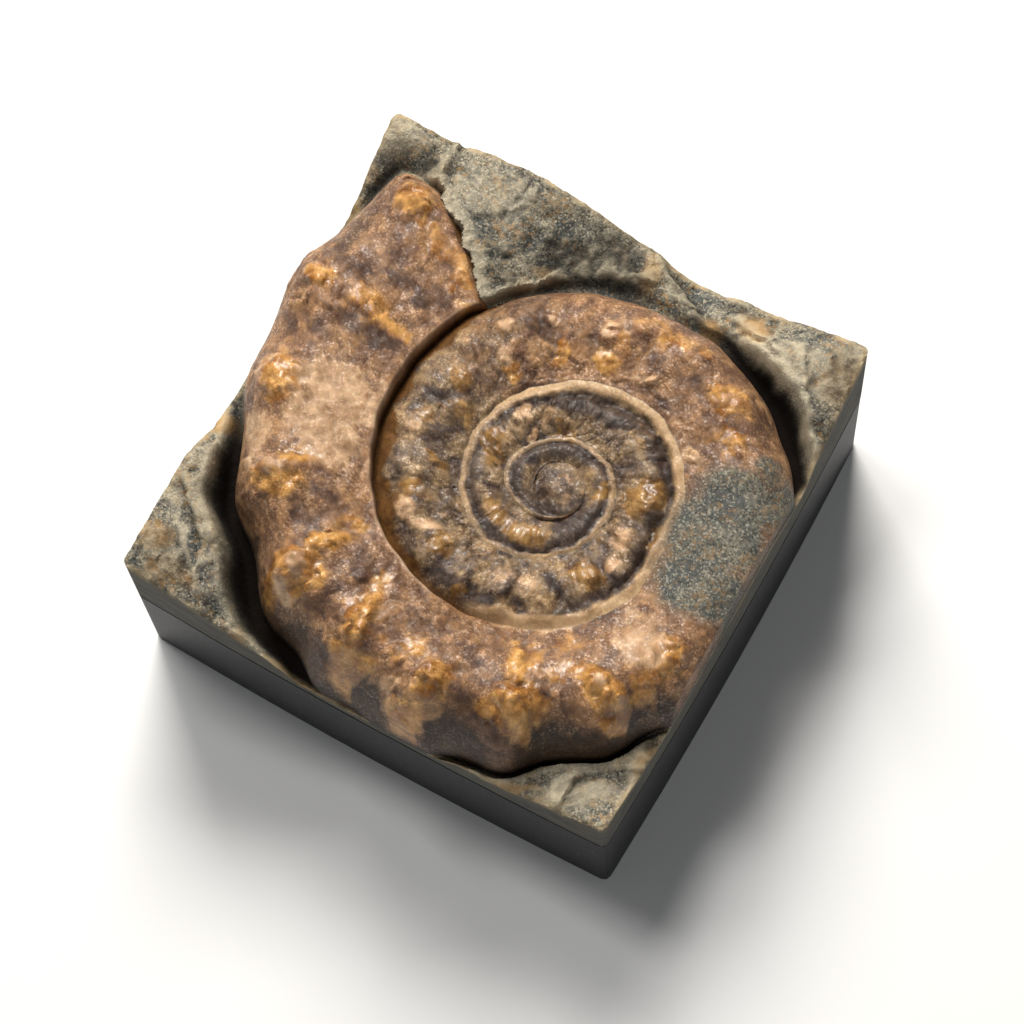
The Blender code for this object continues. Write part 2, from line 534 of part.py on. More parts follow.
def triangulate_top():
    """Return the points and triangles of the top, with edges along the whorls' seams."""
    outline = block_outline(OUTLINE_SPACING)
    seam = np.column_stack(coil_points(coil_stations(), 0.0))
    outer, inner = coil_radius(MOUTH_ANGLE), inner_radius(MOUTH_ANGLE)
    radius = np.linspace(outer, inner, 14)[1:-1]
    turn = np.radians(mouth_angle(radius))
    mouth = np.column_stack([COIL_CENTRE[0] + radius * np.cos(turn),
                             COIL_CENTRE[1] + radius * np.sin(turn)])
    ring = np.arange(15.0, 346.0, 15.0)
    radius, turn = along(ring, HUB_RADII), np.radians(ring)
    hub = np.column_stack([COIL_CENTRE[0] + radius * np.cos(turn),
                           COIL_CENTRE[1] + radius * np.sin(turn)])
    points = [Vector(p) for p in outline]
    edges = []
    for line in (seam, mouth, hub):
        start = len(points)
        points += [Vector(p) for p in line]
        edges += [(start + i, start + i + 1) for i in range(len(line) - 1)
                  if inside_block(*line[i], 0.0) or inside_block(*line[i + 1], 0.0)]
    for x, y in (shell_points(), rock_points()):
        keep = inside_block(x, y, 0.12)
        points += [Vector(p) for p in np.column_stack([x[keep], y[keep]])]
    face = [list(range(len(outline)))]
    flat, _, triangles, _, _, _ = delaunay_2d_cdt(points, edges, face, 1, 1e-4)
    return np.array([tuple(p) for p in flat]), triangles


def material(name, colour, roughness, metallic=0.0):
    """Return a new Principled material."""
    made = bpy.data.materials.new(name)
    made.use_nodes = True
    shader = made.node_tree.nodes["Principled BSDF"]
    shader.inputs["Base Color"].default_value = (*colour, 1.0)
    shader.inputs["Roughness"].default_value = roughness
    shader.inputs["Metallic"].default_value = metallic
    return made


def new_object(name, mesh):
    """Put a mesh in the scene as an object of the given name."""
    made = bpy.data.objects.new(name, mesh)
    bpy.context.scene.collection.objects.link(made)
    return made


def make_stone():
    """Build the ammonite in its block of rock: broken top, sawn sides, flat underside."""
    flat, triangles = triangulate_top()
    heights = top_height(RockTop(ROCK_SPOTS), flat[:, 0], flat[:, 1])
    work = bmesh.new()
    top = [work.verts.new((x * MM, y * MM, z * MM)) for (x, y), z in zip(flat, heights)]
    for corners in triangles:
        work.faces.new([top[i] for i in corners])
    loose = [vert for vert in work.verts if not vert.link_faces]
    bmesh.ops.delete(work, geom=loose, context="VERTS")
    rim = [edge for edge in work.edges if edge.is_boundary]
    pulled = bmesh.ops.extrude_edge_only(work, edges=rim)["geom"]
    floor = (BASE_HEIGHT + GLUE_GAP) * MM
    for vert in (item for item in pulled if isinstance(item, bmesh.types.BMVert)):
        vert.co.z = floor
    lower = [item for item in pulled if isinstance(item, bmesh.types.BMEdge)]
    bmesh.ops.contextual_create(work, geom=lower)
    bmesh.ops.triangulate(work, faces=work.faces[:])
    bmesh.ops.recalc_face_normals(work, faces=work.faces[:])
    mesh = bpy.data.meshes.new("ammonite_in_rock")
    work.to_mesh(mesh)
    work.free()
    stone = new_object("ammonite_in_rock", mesh)
    mesh.materials.append(material("fossil calcite", (0.30, 0.17, 0.09), 0.35))
    mesh.materials.append(material("grey rock", (0.24, 0.22, 0.19), 0.8))
    for face in mesh.polygons:
        centre = face.center / MM
        x, y = np.array([centre.x]), np.array([centre.y])
        is_shell = coil_place(x, y)[1][0] < 0.0 and face.normal.z > 0.02
        face.material_index = 0 if is_shell else 1
    return stone


def prism(name, outline, low, high):
    """Return an object that is an outline pulled up from one height to another."""
    work = bmesh.new()
    floor = work.faces.new([work.verts.new((x * MM, y * MM, low * MM)) for x, y in outline])
    pulled = bmesh.ops.extrude_face_region(work, geom=[floor])["geom"]
    lifted = [item for item in pulled if isinstance(item, bmesh.types.BMVert)]
    bmesh.ops.translate(work, verts=lifted, vec=(0.0, 0.0, (high - low) * MM))
    bmesh.ops.recalc_face_normals(work, faces=work.faces[:])
    mesh = bpy.data.meshes.new(name)
    work.to_mesh(mesh)
    work.free()
    return new_object(name, mesh)


def rounded_square(half, radius, steps):
    """Return a square outline with round corners, anticlockwise."""
    points = []
    for turn in range(4):
        for i in range(steps + 1):
            angle = math.pi / 2 * (turn + i / steps)
            corner = half - radius
            sign_x = 1 if turn in (0, 3) else -1
            sign_y = 1 if turn in (0, 1) else -1
            points.append((sign_x * corner + radius * math.cos(angle),
                           sign_y * corner + radius * math.sin(angle)))
    return points


def circle(radius, sides):
    """Return a round outline, anticlockwise."""
    turns = [2 * math.pi * i / sides for i in range(sides)]
    return [(radius * math.cos(t), radius * math.sin(t)) for t in turns]


def cross(length, width):
    """Return the outline of a plus sign, anticlockwise."""
    a, b = length / 2, width / 2
    return [(a, b), (b, b), (b, a), (-b, a), (-b, b), (-a, b),
            (-a, -b), (-b, -b), (-b, -a), (b, -a), (b, -b), (a, -b)]


def add_boolean(target, tool, operation):
    """Cut a tool from the target, or join it on, and hide the tool."""
    step = target.modifiers.new(tool.name, "BOOLEAN")
    step.operation = operation
    step.object = tool
    tool.hide_render = True
    tool.display_type = "WIRE"


def make_base():
    """Build the dark base: a hollow square body with a socket post under its roof."""
    outline = block_outline(SIDE / BASE_SEGMENTS)
    base = prism("base", outline, 0.0, BASE_HEIGHT)
    hollow = prism("hollow_cutter", rounded_square(SIDE / 2 - WALL, HOLLOW_CORNER, 4),
                   -1.0, HOLLOW_DEPTH)
    post = prism("post_form", circle(POST_DIAMETER / 2, POST_SIDES),
                 POST_RECESS, (HOLLOW_DEPTH + BASE_HEIGHT) / 2)
    socket = prism("socket_cutter", cross(SOCKET_LENGTH, SOCKET_WIDTH),
                   -1.0, POST_RECESS + SOCKET_DEPTH)
    add_boolean(base, hollow, "DIFFERENCE")
    add_boolean(base, post, "UNION")
    add_boolean(base, socket, "DIFFERENCE")
    base.data.materials.append(material("dark brushed base", (0.012, 0.013, 0.016), 0.42, 0.6))
    return base


def main():
    for old in list(bpy.data.objects):
        bpy.data.objects.remove(old, do_unlink=True)
    make_stone()
    make_base()


main()
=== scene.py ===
"""The looks of a fossil ammonite in its sawn block of rock on a dark base.

Lengths are in millimetres until a mesh is made. The coiled shell starts at the corner
(-X, +Y), runs anticlockwise seen from above and winds inwards.
"""
import math

import bpy
import numpy as np
from mathutils import Matrix, Vector


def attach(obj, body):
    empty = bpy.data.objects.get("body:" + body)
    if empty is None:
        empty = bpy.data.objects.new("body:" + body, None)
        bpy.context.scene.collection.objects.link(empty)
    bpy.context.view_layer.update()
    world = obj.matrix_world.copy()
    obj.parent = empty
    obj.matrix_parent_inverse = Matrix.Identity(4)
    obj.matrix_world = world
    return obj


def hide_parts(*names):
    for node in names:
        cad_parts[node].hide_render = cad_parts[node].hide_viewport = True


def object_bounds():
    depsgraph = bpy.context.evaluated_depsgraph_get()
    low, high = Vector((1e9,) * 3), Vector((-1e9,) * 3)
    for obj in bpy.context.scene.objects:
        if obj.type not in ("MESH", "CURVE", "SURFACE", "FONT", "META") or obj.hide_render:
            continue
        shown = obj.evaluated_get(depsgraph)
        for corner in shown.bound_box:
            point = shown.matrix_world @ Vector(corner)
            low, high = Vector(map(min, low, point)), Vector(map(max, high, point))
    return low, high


bl_info = {
    "name": "Fossil Ammonite Block",
    "version": (1, 0, 0),
    "blender": (4, 5, 0),
    "location": "3D View > Sidebar > Fossil",
    "description": "Models and finishes a fossil ammonite in a sawn block of rock",
    "category": "Object",
}

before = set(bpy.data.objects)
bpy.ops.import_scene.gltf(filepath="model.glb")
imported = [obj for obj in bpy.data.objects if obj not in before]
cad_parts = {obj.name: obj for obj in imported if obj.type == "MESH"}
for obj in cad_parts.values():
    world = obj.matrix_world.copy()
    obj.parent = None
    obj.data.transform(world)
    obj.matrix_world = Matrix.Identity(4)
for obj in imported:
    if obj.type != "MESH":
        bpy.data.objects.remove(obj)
CAD_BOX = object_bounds()
MM = 0.001
TOP_LIMIT = CAD_BOX[1].z / MM - 0.02

# Block: a square with slightly bowed sides and round corners. STRAIGHT is half the length of a
# side without its corners, GLUE_TOP the height where the rock ends over the base.
SIDE = 18.0
SIDE_BULGE = 0.17
CORNER_RADIUS = 0.25
STRAIGHT = SIDE / 2 - CORNER_RADIUS
GLUE_TOP = 5.24
ROCK_INSET = 0.012

# Coil: radius of its outer edge every 30 degrees, from 120 degrees on, round COIL_CENTRE
COIL_CENTRE = (1.84, -0.02)
COIL_FIRST = 120.0
COIL_STEP = 30.0
COIL_RADII = (
    12.35, 12.0, 10.95, 10.15, 9.7, 9.25, 8.95, 8.65, 8.4, 8.15, 7.83, 7.25,
    6.85, 6.37, 5.9, 5.62, 5.36, 5.05, 4.92, 4.85, 4.47, 4.55, 4.35, 3.86,
    3.38, 3.12, 2.9, 2.79, 2.76, 2.68, 2.52, 2.42, 2.33, 2.3, 2.05, 1.83,
    1.58, 1.49, 1.46, 1.32, 1.14, 1.15, 1.22, 1.3, 1.31)
COIL_LAST = COIL_FIRST + COIL_STEP * (len(COIL_RADII) - 1)

# Angles along it: broken mouth, start of the second turn, end of the pale lip at the seam
MOUTH_ANGLE = 138.6
MOUTH_BOW = 0.8
MOUTH_ROUNDING = 1.1
SECOND_TURN = 480.0
LIP_END = 290.0

# Radius of the coil's hub by angle round it
HUB_RADII = (
    (0, 1.31), (30, 1.2), (60, 1.1), (90, 0.95), (120, 0.75), (150, 0.52), (180, 0.42), (210, 0.4),
    (240, 0.44), (270, 0.55), (285, 0.75), (300, 0.98), (315, 1.12), (330, 1.24), (360, 1.31))

# Height of the coil's outer edge, and of its crest, at some angles along it; how far across
# the crest lies, how steeply each side rises to it, and the depth of the soft limit at the top
EDGE_HEIGHTS = (
    (120, 8.9), (141, 8.5), (149, 7.4), (158, 6.9), (180, 7.2), (195, 6.9), (210, 6.3), (230, 5.95),
    (250, 5.75), (275, 5.85), (295, 6.3), (320, 6.8), (345, 7.6), (375, 7.8), (392, 7), (420, 7.2),
    (445, 7.7), (470, 8), (500, 8.5), (540, 8.75), (600, 8.75), (640, 8.85), (690, 9.1),
    (730, 9.15), (820, 9.15), (860, 9), (1000, 8.92), (1440, 8.75))
CREST_HEIGHTS = (
    (120, 9.3), (140, 9.45), (170, 9.95), (200, 10.1), (250, 9.95), (300, 9.75), (345, 9.65),
    (400, 9.5), (450, 9.5), (560, 9.5), (640, 9.35), (720, 9.2), (830, 9.25), (900, 9.15),
    (1000, 9.1), (1100, 9.05), (1300, 8.98), (1440, 8.85))
CREST_PLACE = 0.45
OUTER_STEEPNESS = 2.0
INNER_STEEPNESS = 90.0
INNER_STEEP_SHARE = 0.75
SOFT_TOP = 0.4

# Ribs: angle along the coil, height, half width in degrees. Those further in are alike.
# RIB_PLACE and RIB_REACH are shares of the turn's width; a push moves the outline outwards.
OUTER_RIBS = (
    (144, 0.3, 7.5), (166, 0.48, 8), (187, 0.36, 7), (209, 0.48, 7), (230.5, 0.5, 7),
    (248, 0.38, 5.5), (268, 0.42, 6), (290, 0.42, 6), (312, 0.36, 6), (332, 0.4, 6.5))
LATER_RIB_FIRST = 392.0
LATER_RIB_STEP = 19.0
LATER_RIB_HEIGHT = 0.22
LATER_RIB_WIDTH = 5.5
LATER_RIB_END = 760.0
RIB_PLACE = 0.24
RIB_REACH = 0.34
RIB_PUSH = 0.43
LATER_RIB_PUSH = 0.3
WOBBLE = 0.035

# Crystals of the shell: width on the outer turn, on the inner turns, of the fine ones on
# both, and of the coloured specks
OUTER_CRYSTAL = 0.5
INNER_CRYSTAL = 0.82
FINE_CRYSTAL = 0.25
SPECK = 0.2

# Knobs and chips that stand proud: x, y, half length, half width, turn in degrees, height
KNOBS = (
    (-6.8, 6.4, 0.8, 0.5, 0, 0.3), (-8.3, 2.4, 0.6, 0.5, 0, 0.28), (-6, 2.4, 1.2, 0.45, -22, 0.26),
    (-7.6, -1.3, 0.8, 0.6, -20, 0.15), (-5.7, -3.9, 1.1, 0.38, 30, 0.32),
    (-6.2, -4.15, 0.35, 0.2, -10, 0.14), (-6.3, -5.2, 0.5, 0.35, -40, 0.22),
    (-3.9, -6.8, 0.8, 0.45, 65, 0.48), (-3.2, -5.4, 0.8, 0.35, 50, 0.28),
    (-0.9, -7.3, 0.4, 1.1, 0, 0.34), (0.6, -7.6, 0.5, 0.35, 30, 0.18),
    (1.9, -8, 0.45, 0.8, 0, 0.32), (4.7, -7.2, 0.75, 0.5, -30, 0.42), (4, -6, 0.8, 0.35, -60, 0.22),
    (5.9, -6.3, 0.4, 0.3, -30, 0.18), (7, -5.3, 0.8, 0.45, -15, 0.38),
    (8.3, -3.2, 0.6, 0.6, 0, 0.2), (-1.8, -5.9, 0.5, 0.35, 40, 0.16), (2.6, 6.1, 0.7, 0.3, 5, 0.12),
    (5.3, 5.2, 0.6, 0.35, -35, 0.12), (6.9, 3.9, 0.5, 0.3, -40, 0.14),
    (-1.9, 4.05, 0.28, 0.28, 0, 0.14), (-0.7, 4.9, 0.24, 0.22, 0, 0.14),
    (-1.5, 3.1, 0.45, 0.28, -40, 0.12), (-2.4, 1.65, 0.55, 0.42, -30, 0.14),
    (-1.9, 0.6, 0.6, 0.4, 20, 0.1), (-1.6, -2.9, 0.5, 0.35, -40, 0.12),
    (-0.7, -3.3, 0.5, 0.35, 20, 0.14), (1.2, 5.4, 0.4, 0.45, -30, 0.12),
    (3.1, 4.7, 0.6, 0.3, 10, 0.12), (1.6, 4.5, 0.45, 0.3, -20, 0.08),
    (1.3, -4.3, 0.3, 0.3, 20, 0.14), (0.15, 1.75, 0.38, 0.3, -30, 0.12), (5, 1, 0.5, 0.7, -20, 0.2),
    (4.9, -0.4, 0.42, 0.4, 0, 0.16), (4.5, -2, 0.5, 0.45, 0, 0.16), (2.2, -3.5, 0.55, 0.4, 20, 0.1),
    (5.7, 3, 0.3, 0.25, 0, 0.14), (0.9, -8.4, 0.35, 0.25, 0, 0.12),
    (-1.7, -1.1, 0.5, 0.25, 15, 0.1), (2.3, -1.6, 0.6, 0.4, 0, 0.08),
    (0.8, -1.4, 0.7, 0.3, -30, 0.06))

# Groove between the shell and the rock: its width and the strength of the painted shade in it, at
# some angles
GROOVE_WIDTHS = (
    (120, 0.2), (140, 0.25), (152, 0.45), (180, 0.4), (200, 0.8), (225, 1.1), (245, 1), (262, 0.45),
    (285, 0.25), (310, 0.2), (335, 0.2), (385, 0.7), (405, 0.95), (420, 0.85), (435, 0.8), (455, 1),
    (472, 0.7), (484, 0.35), (500, 0.3))
GROOVE_SHADE = (
    (120, 0.1), (140, 0.2), (155, 0.5), (185, 0.4), (198, 1), (255, 1), (266, 0.6), (290, 0.5),
    (325, 0.6), (345, 0.7), (385, 1), (425, 1), (438, 0.7), (450, 0.35), (468, 0.35), (480, 0.6),
    (500, 0.6))

# How far up the shell's own edge the painted shade of the groove reaches, and the width of the
# brown band that lines the seam on the second whorl
SHADE_REACHES = (
    (120, 0.35), (146, 0.35), (156, 1), (255, 1.1), (270, 0.5), (350, 0.45), (385, 1), (470, 0.8))
BROWN_WIDTHS = (
    (490, 0.2), (515, 0.5), (600, 0.58), (640, 0.25))

# Seams between the whorls, by angle: height and half width of the pale rim on the inner
# whorl, and depth of the dip inside it
RIM_HEIGHTS = (
    (610, 0), (640, 0.03), (720, 0.04), (800, 0.045), (860, 0.035), (920, 0.03), (1080, 0.03),
    (1440, 0.03))
RIM_WIDTHS = (
    (620, 0.24), (680, 0.22), (720, 0.19), (830, 0.22), (880, 0.14), (1000, 0.09), (1080, 0.1),
    (1200, 0.09), (1440, 0.09))
DIP_DEPTHS = (
    (610, 0), (650, 0.12), (715, 0.28), (765, 0.28), (800, 0.22), (860, 0.12), (900, 0.07),
    (1080, 0.1), (1440, 0.05))

# Width of the smooth grey flank along the outer edge
FLANK_WIDTHS = (
    (200, 0), (212, 0.3), (228, 0.6), (240, 0.9), (262, 1), (285, 0.9), (300, 1.1), (318, 1.1),
    (334, 0.7), (350, 0.3), (362, 0), (400, 0), (410, 0.15), (470, 0.15), (500, 0))

# Broken top of the rock: spot heights round the rim and between the rim and the shell
ROCK_SPOTS = (
    (-9.1, 9.1, 9.1), (-8, 9.1, 9.05), (-7, 9.1, 8.75), (-6.4, 9.1, 9.05), (-5, 9.1, 9.45),
    (-4, 9.1, 9.65), (-3, 9.1, 9.5), (-2, 9.1, 9.2), (-1, 9.1, 8.75), (0, 9.1, 8.3), (1, 9.1, 8),
    (1.6, 9.1, 7.5), (2.6, 9.1, 7.15), (3.6, 9.1, 7.3), (4.3, 9.1, 7.75), (5.4, 9.1, 7.85),
    (6.4, 9.1, 8.45), (7.4, 9.1, 8.95), (9.1, 9.1, 9.6), (-9.1, -9.1, 8.78), (-9.1, -7.5, 8.72),
    (-9.1, -6, 8.7), (-9.1, -4.8, 8.6), (-9.1, -3.8, 7.9), (-9.1, -3, 7.4), (-9.1, 4, 7),
    (-9.1, 5, 6.7), (-9.1, 6, 7.15), (-9.1, 7, 7.9), (-9.1, 8, 8.65), (-8, -9.1, 8.6),
    (-7, -9.1, 8.35), (-6, -9.1, 8), (-5, -9.1, 7.55), (-4, -9.1, 7.1), (-2.6, -9.1, 6.8),
    (2.6, -9.1, 6.75), (4, -9.1, 6.6), (5.5, -9.1, 6.6), (6.4, -9.1, 7), (7.4, -9.1, 7.3),
    (9.1, -9.1, 7.8), (9.1, -7.6, 7.65), (9.1, -6.2, 7.25), (9.1, -5.2, 7.1), (9.1, 4.4, 7.6),
    (9.1, 5.2, 8.3), (9.1, 6.2, 8.7), (9.1, 7.4, 9.3), (-8, -8, 8.95), (-6.9, -7.4, 8.8),
    (-8.3, -6.4, 8.8), (-6.4, -8.4, 8.4), (-5.2, -8.5, 7.8), (8, -8.3, 7.65), (6.8, -8.3, 7.3),
    (8.5, -7, 7.55), (8.3, 8.3, 9.55), (7, 8, 9.15), (8.4, 6.8, 9.25), (7.6, 7, 9.1), (6, 7.9, 8.7),
    (5, 7.9, 8.3), (4, 8.1, 7.95), (3, 8, 7.65), (2, 8.1, 7.8), (1, 8.1, 8.2), (0, 8, 8.45),
    (-1.2, 7.6, 8.45), (-2.2, 7.2, 8.7), (-3, 7.2, 9.15), (-4, 8, 9.6), (-5.2, 7.7, 9.7),
    (-6.1, 8.2, 9.55), (-4, 6.2, 9.45), (-3.2, 5.5, 9.1), (-5.4, 6.9, 9.7), (-8.4, 8.4, 9.2),
    (-7.6, 8.7, 9.1), (-7.1, 8.1, 8.8), (-8.2, 7.4, 8), (-8.6, 6.2, 7.05), (-8.6, 5, 6.75))

# Broken ledges of the rock: start and end of the line, drop to its right, reach
LEDGES = (
    (-6.6, 9.3, -6.5, 8, -0.4, 0.9), (-6.5, 8, -6.1, 7.3, -0.4, 0.7),
    (1.5, 8.9, 4.2, 7.3, -0.45, 0.6), (4.4, 8.2, 6.2, 7.8, 0.35, 0.6),
    (7.1, 8.2, 7.7, 7, -0.25, 0.5), (7.7, 7, 9.1, 5.2, -0.3, 0.6), (-8.6, -5.7, -7.2, -7, 0.3, 0.8),
    (-7.2, -7, -6.6, -8.6, 0.25, 0.6), (7.2, -9.2, 7.3, -7.9, 0.3, 0.5),
    (7.3, -7.9, 9.1, -6.4, 0.25, 0.5), (-2.4, 4.8, -1.7, 6.6, -0.35, 0.5),
    (-4.6, 6.9, -3.2, 8, 0.15, 0.6), (-3.7, 7.6, -3.4, 8.6, -0.15, 0.3))

# Strips of the shell: first and last angle, columns along it, rows across it. Then the rows
# of each side wall, how far turns overlap, and how far down their walls reach. Relief, for the
# painted shade in hollows and the painted highlight on raised parts, is judged against heights
# averaged over some cells each way.
STRIPS = ((126.0, 498.0, 620, 72), (498.0, 858.0, 500, 42), (858.0, 1440.0, 580, 22))
WALL_ROWS = 3
OVERLAP = 0.03
WALL_DEPTH = 0.7
INNER_TURN_FOOT = 7.2
INNER_WALL_FOOT = 7.0
RELIEF_REACHES = (4, 3)
# Height below or above the local average that gives full painted shade and full painted highlight
# on the shell
SHELL_RELIEF = 0.07

# Middle of the coil: grid, height, and places of its knob, of the valley and the pit beside it
HUB_COLUMNS = 120
HUB_ROWS = 22
HUB_HEIGHT = 8.76
HUB_KNOB = (2.35, 0.15)
HUB_VALLEY = (1.75, -0.2)
HUB_VALLEY_TURN = (0.79, 0.61)
HUB_PIT = (1.95, -0.42)

# Grid of the rock: columns each way, rows down its sides, height under the inner turns
ROCK_COLUMNS = 262
SIDE_ROWS = 5
ROCK_UNDER_TURNS = 7.3
# Height below or above the local average that gives full painted shade and full painted highlight
# on the rock
ROCK_RELIEF = 0.1
SMOOTH_ANGLE = math.radians(50)

# Patches on the shell: x, y, half length, half width, turn in degrees, strength
# Creamy patches, among them painted highlights: the small spots at (-3.65, -6.55), (-4, -7.3), (-6,
# -4.2), (-3.6, -7.45), (6.8, -5.2) and (-6.2, -4.15) light up amber knobs and ribs
CREAM_AND_HIGHLIGHTS = (
    (3.3, -4.55, 0.9, 0.22, 25, 1.2), (4.6, -4, 0.7, 0.2, 40, 1.1),
    (5.15, -1.35, 0.22, 0.2, 0, 1.4), (-3.65, -6.55, 0.35, 0.45, 10, 0.9),
    (-4, -7.3, 0.3, 0.2, -30, 0.8), (-6, -4.2, 0.5, 0.28, 20, 0.55),
    (-3.6, -7.45, 0.35, 0.1, -25, 0.8), (6.8, -5.2, 0.3, 0.2, -20, 0.8),
    (-5.4, -0.7, 1.65, 0.9, -5, 1), (-5.3, -2.2, 1.8, 0.8, -15, 0.95),
    (-7.3, -3, 0.7, 0.6, -30, 0.7), (-6.9, -3.9, 0.6, 0.3, -50, 0.6),
    (7.2, -3.4, 1.1, 0.7, -15, 0.9), (6.9, -2.6, 0.7, 0.3, 0, 0.8), (-1.7, -3, 0.45, 0.3, -40, 1),
    (-0.7, -3.2, 0.5, 0.2, 20, 0.9), (1.2, 5.4, 0.4, 0.3, -30, 0.7), (3.1, 4.6, 0.5, 0.25, 10, 0.7),
    (2.2, -3.6, 0.5, 0.4, 30, 0.6), (3.7, -4.45, 0.9, 0.2, 28, 0.9), (0.1, 1.75, 0.35, 0.3, -30, 1),
    (0.6, 1.2, 0.15, 0.3, 20, 0.9), (4.9, -0.5, 0.4, 0.45, 0, 0.6), (5.1, -1.5, 0.25, 0.25, 0, 1),
    (-1.9, 4.05, 0.28, 0.28, 0, 0.9), (-0.7, 4.9, 0.22, 0.2, 0, 1),
    (-1.45, 3.1, 0.35, 0.25, -30, 0.7), (5.7, 3, 0.35, 0.25, 0, 0.9),
    (-2.7, -0.45, 0.18, 0.25, 0, 0.9), (1.3, 5.9, 0.4, 0.3, 0, 0.5),
    (-6.2, -4.15, 0.25, 0.14, -10, 1.4), (0.8, -8.4, 0.3, 0.25, 0, 0.8),
    (-4.9, 0.2, 0.9, 0.4, 0, 0.5), (3, -3.3, 0.4, 0.3, 0, 0.5), (2.5, 0.2, 0.6, 0.7, 0, 0.38),
    (0.7, 1.85, 0.3, 0.3, 0, 0.4))
AMBER = (
    (-6.1, -4.6, 0.5, 0.35, 20, 1.1), (-5.2, -3.4, 0.7, 0.25, 35, 0.8),
    (-2.9, -5, 0.5, 0.35, 40, 0.9), (-4.2, -7.2, 0.35, 0.35, 0, 1.2), (-3.3, -7, 0.35, 0.3, 0, 0.9),
    (-1, -5.6, 0.35, 0.5, 0, 0.9), (-1, -6.9, 0.5, 0.6, 0, 1), (1, -6.9, 0.5, 0.6, 10, 0.7),
    (2.2, -7.7, 0.5, 0.7, 0, 1), (1.7, -9, 0.7, 0.4, 0, 1), (4.3, -5.6, 0.6, 0.5, -60, 0.8),
    (5, -6.9, 0.6, 0.6, 0, 1.1), (4.2, -7.7, 0.5, 0.4, 0, 0.9), (6.4, -5.2, 0.8, 0.5, 0, 0.9),
    (7.6, -5.9, 0.6, 0.5, 0, 0.9), (7.9, -4.4, 0.7, 0.7, 0, 0.8), (5.6, -5.4, 0.5, 0.4, 0, 0.7),
    (-3.7, -6.4, 0.35, 0.4, 0, 1.4), (-3.5, -7.3, 0.45, 0.25, -30, 1.4),
    (-6.7, 6.3, 0.8, 0.55, 0, 0.9), (-5.6, 5.4, 1.4, 0.5, -12, 0.5),
    (-4.1, 4.6, 0.8, 0.5, -25, 0.5), (-8, 2.5, 0.55, 0.35, 0, 0.9), (-6.1, 2.4, 1, 0.5, -22, 0.7),
    (-5.2, 2, 0.8, 0.3, 0, 0.8), (-7.5, -1.3, 0.9, 0.7, -20, 1.4), (-5.6, -3.5, 0.6, 0.35, 30, 1),
    (-5.7, -4.5, 0.9, 0.4, 20, 1), (-3.9, -6.9, 0.8, 0.6, 60, 1.2), (-3.1, -6.5, 0.6, 0.5, 40, 1),
    (-3.4, -5.4, 0.6, 0.4, 30, 0.8), (-2.8, -4.5, 0.7, 0.3, 25, 0.7),
    (-0.9, -6.2, 0.45, 0.8, 0, 0.7), (-0.9, -7.6, 0.5, 0.6, 0, 1), (-0.6, -8.4, 1, 0.5, 0, 1.1),
    (0.4, -7.4, 0.7, 0.5, 0, 0.5), (2.1, -8.5, 0.6, 0.5, 0, 1), (4.7, -7.4, 0.8, 0.5, -20, 1.3),
    (4.2, -6.3, 0.7, 0.4, -60, 0.8), (7.2, -5.5, 0.9, 0.5, -15, 1), (8.3, -3.4, 0.6, 0.8, 0, 0.9),
    (5.2, -4.6, 0.7, 0.4, 30, 0.6), (1.7, 4.55, 0.5, 0.3, -20, 1.1), (0.1, 4, 0.5, 0.3, -50, 0.8),
    (-2.4, 1.6, 0.5, 0.4, -30, 1), (-1.9, 0.7, 0.6, 0.4, 20, 0.7), (-2.6, 0.1, 0.4, 0.25, 0, 0.8),
    (-1.7, -1.1, 0.5, 0.2, 15, 1), (-1.6, -2.3, 0.7, 0.35, 0, 0.6),
    (-0.1, -3.7, 0.5, 0.45, 20, 1.1), (1.4, -4.6, 0.3, 0.16, 20, 1.3), (4.6, -2.1, 0.55, 0.5, 0, 1),
    (5, 1, 0.55, 0.75, -20, 1.2), (5.9, 0.1, 0.22, 0.6, 0, 0.9), (1.1, -1.7, 0.8, 0.35, -25, 1),
    (2.4, -1.8, 0.5, 0.4, 0, 0.8), (-0.3, 0.2, 0.4, 0.6, 0, 0.9), (3.6, 0.6, 0.25, 0.35, 0, 0.8),
    (3.3, 6.2, 1.6, 0.5, 0, 0.5), (6, 5, 1.3, 0.8, -30, 0.6), (1.6, 2, 0.5, 0.2, -20, 0.7),
    (-0.9, 2.7, 0.3, 0.3, 0, 0.9), (2, 5.2, 0.8, 0.5, 0, 0.5), (6.6, 3.7, 0.8, 0.4, -30, 0.5))
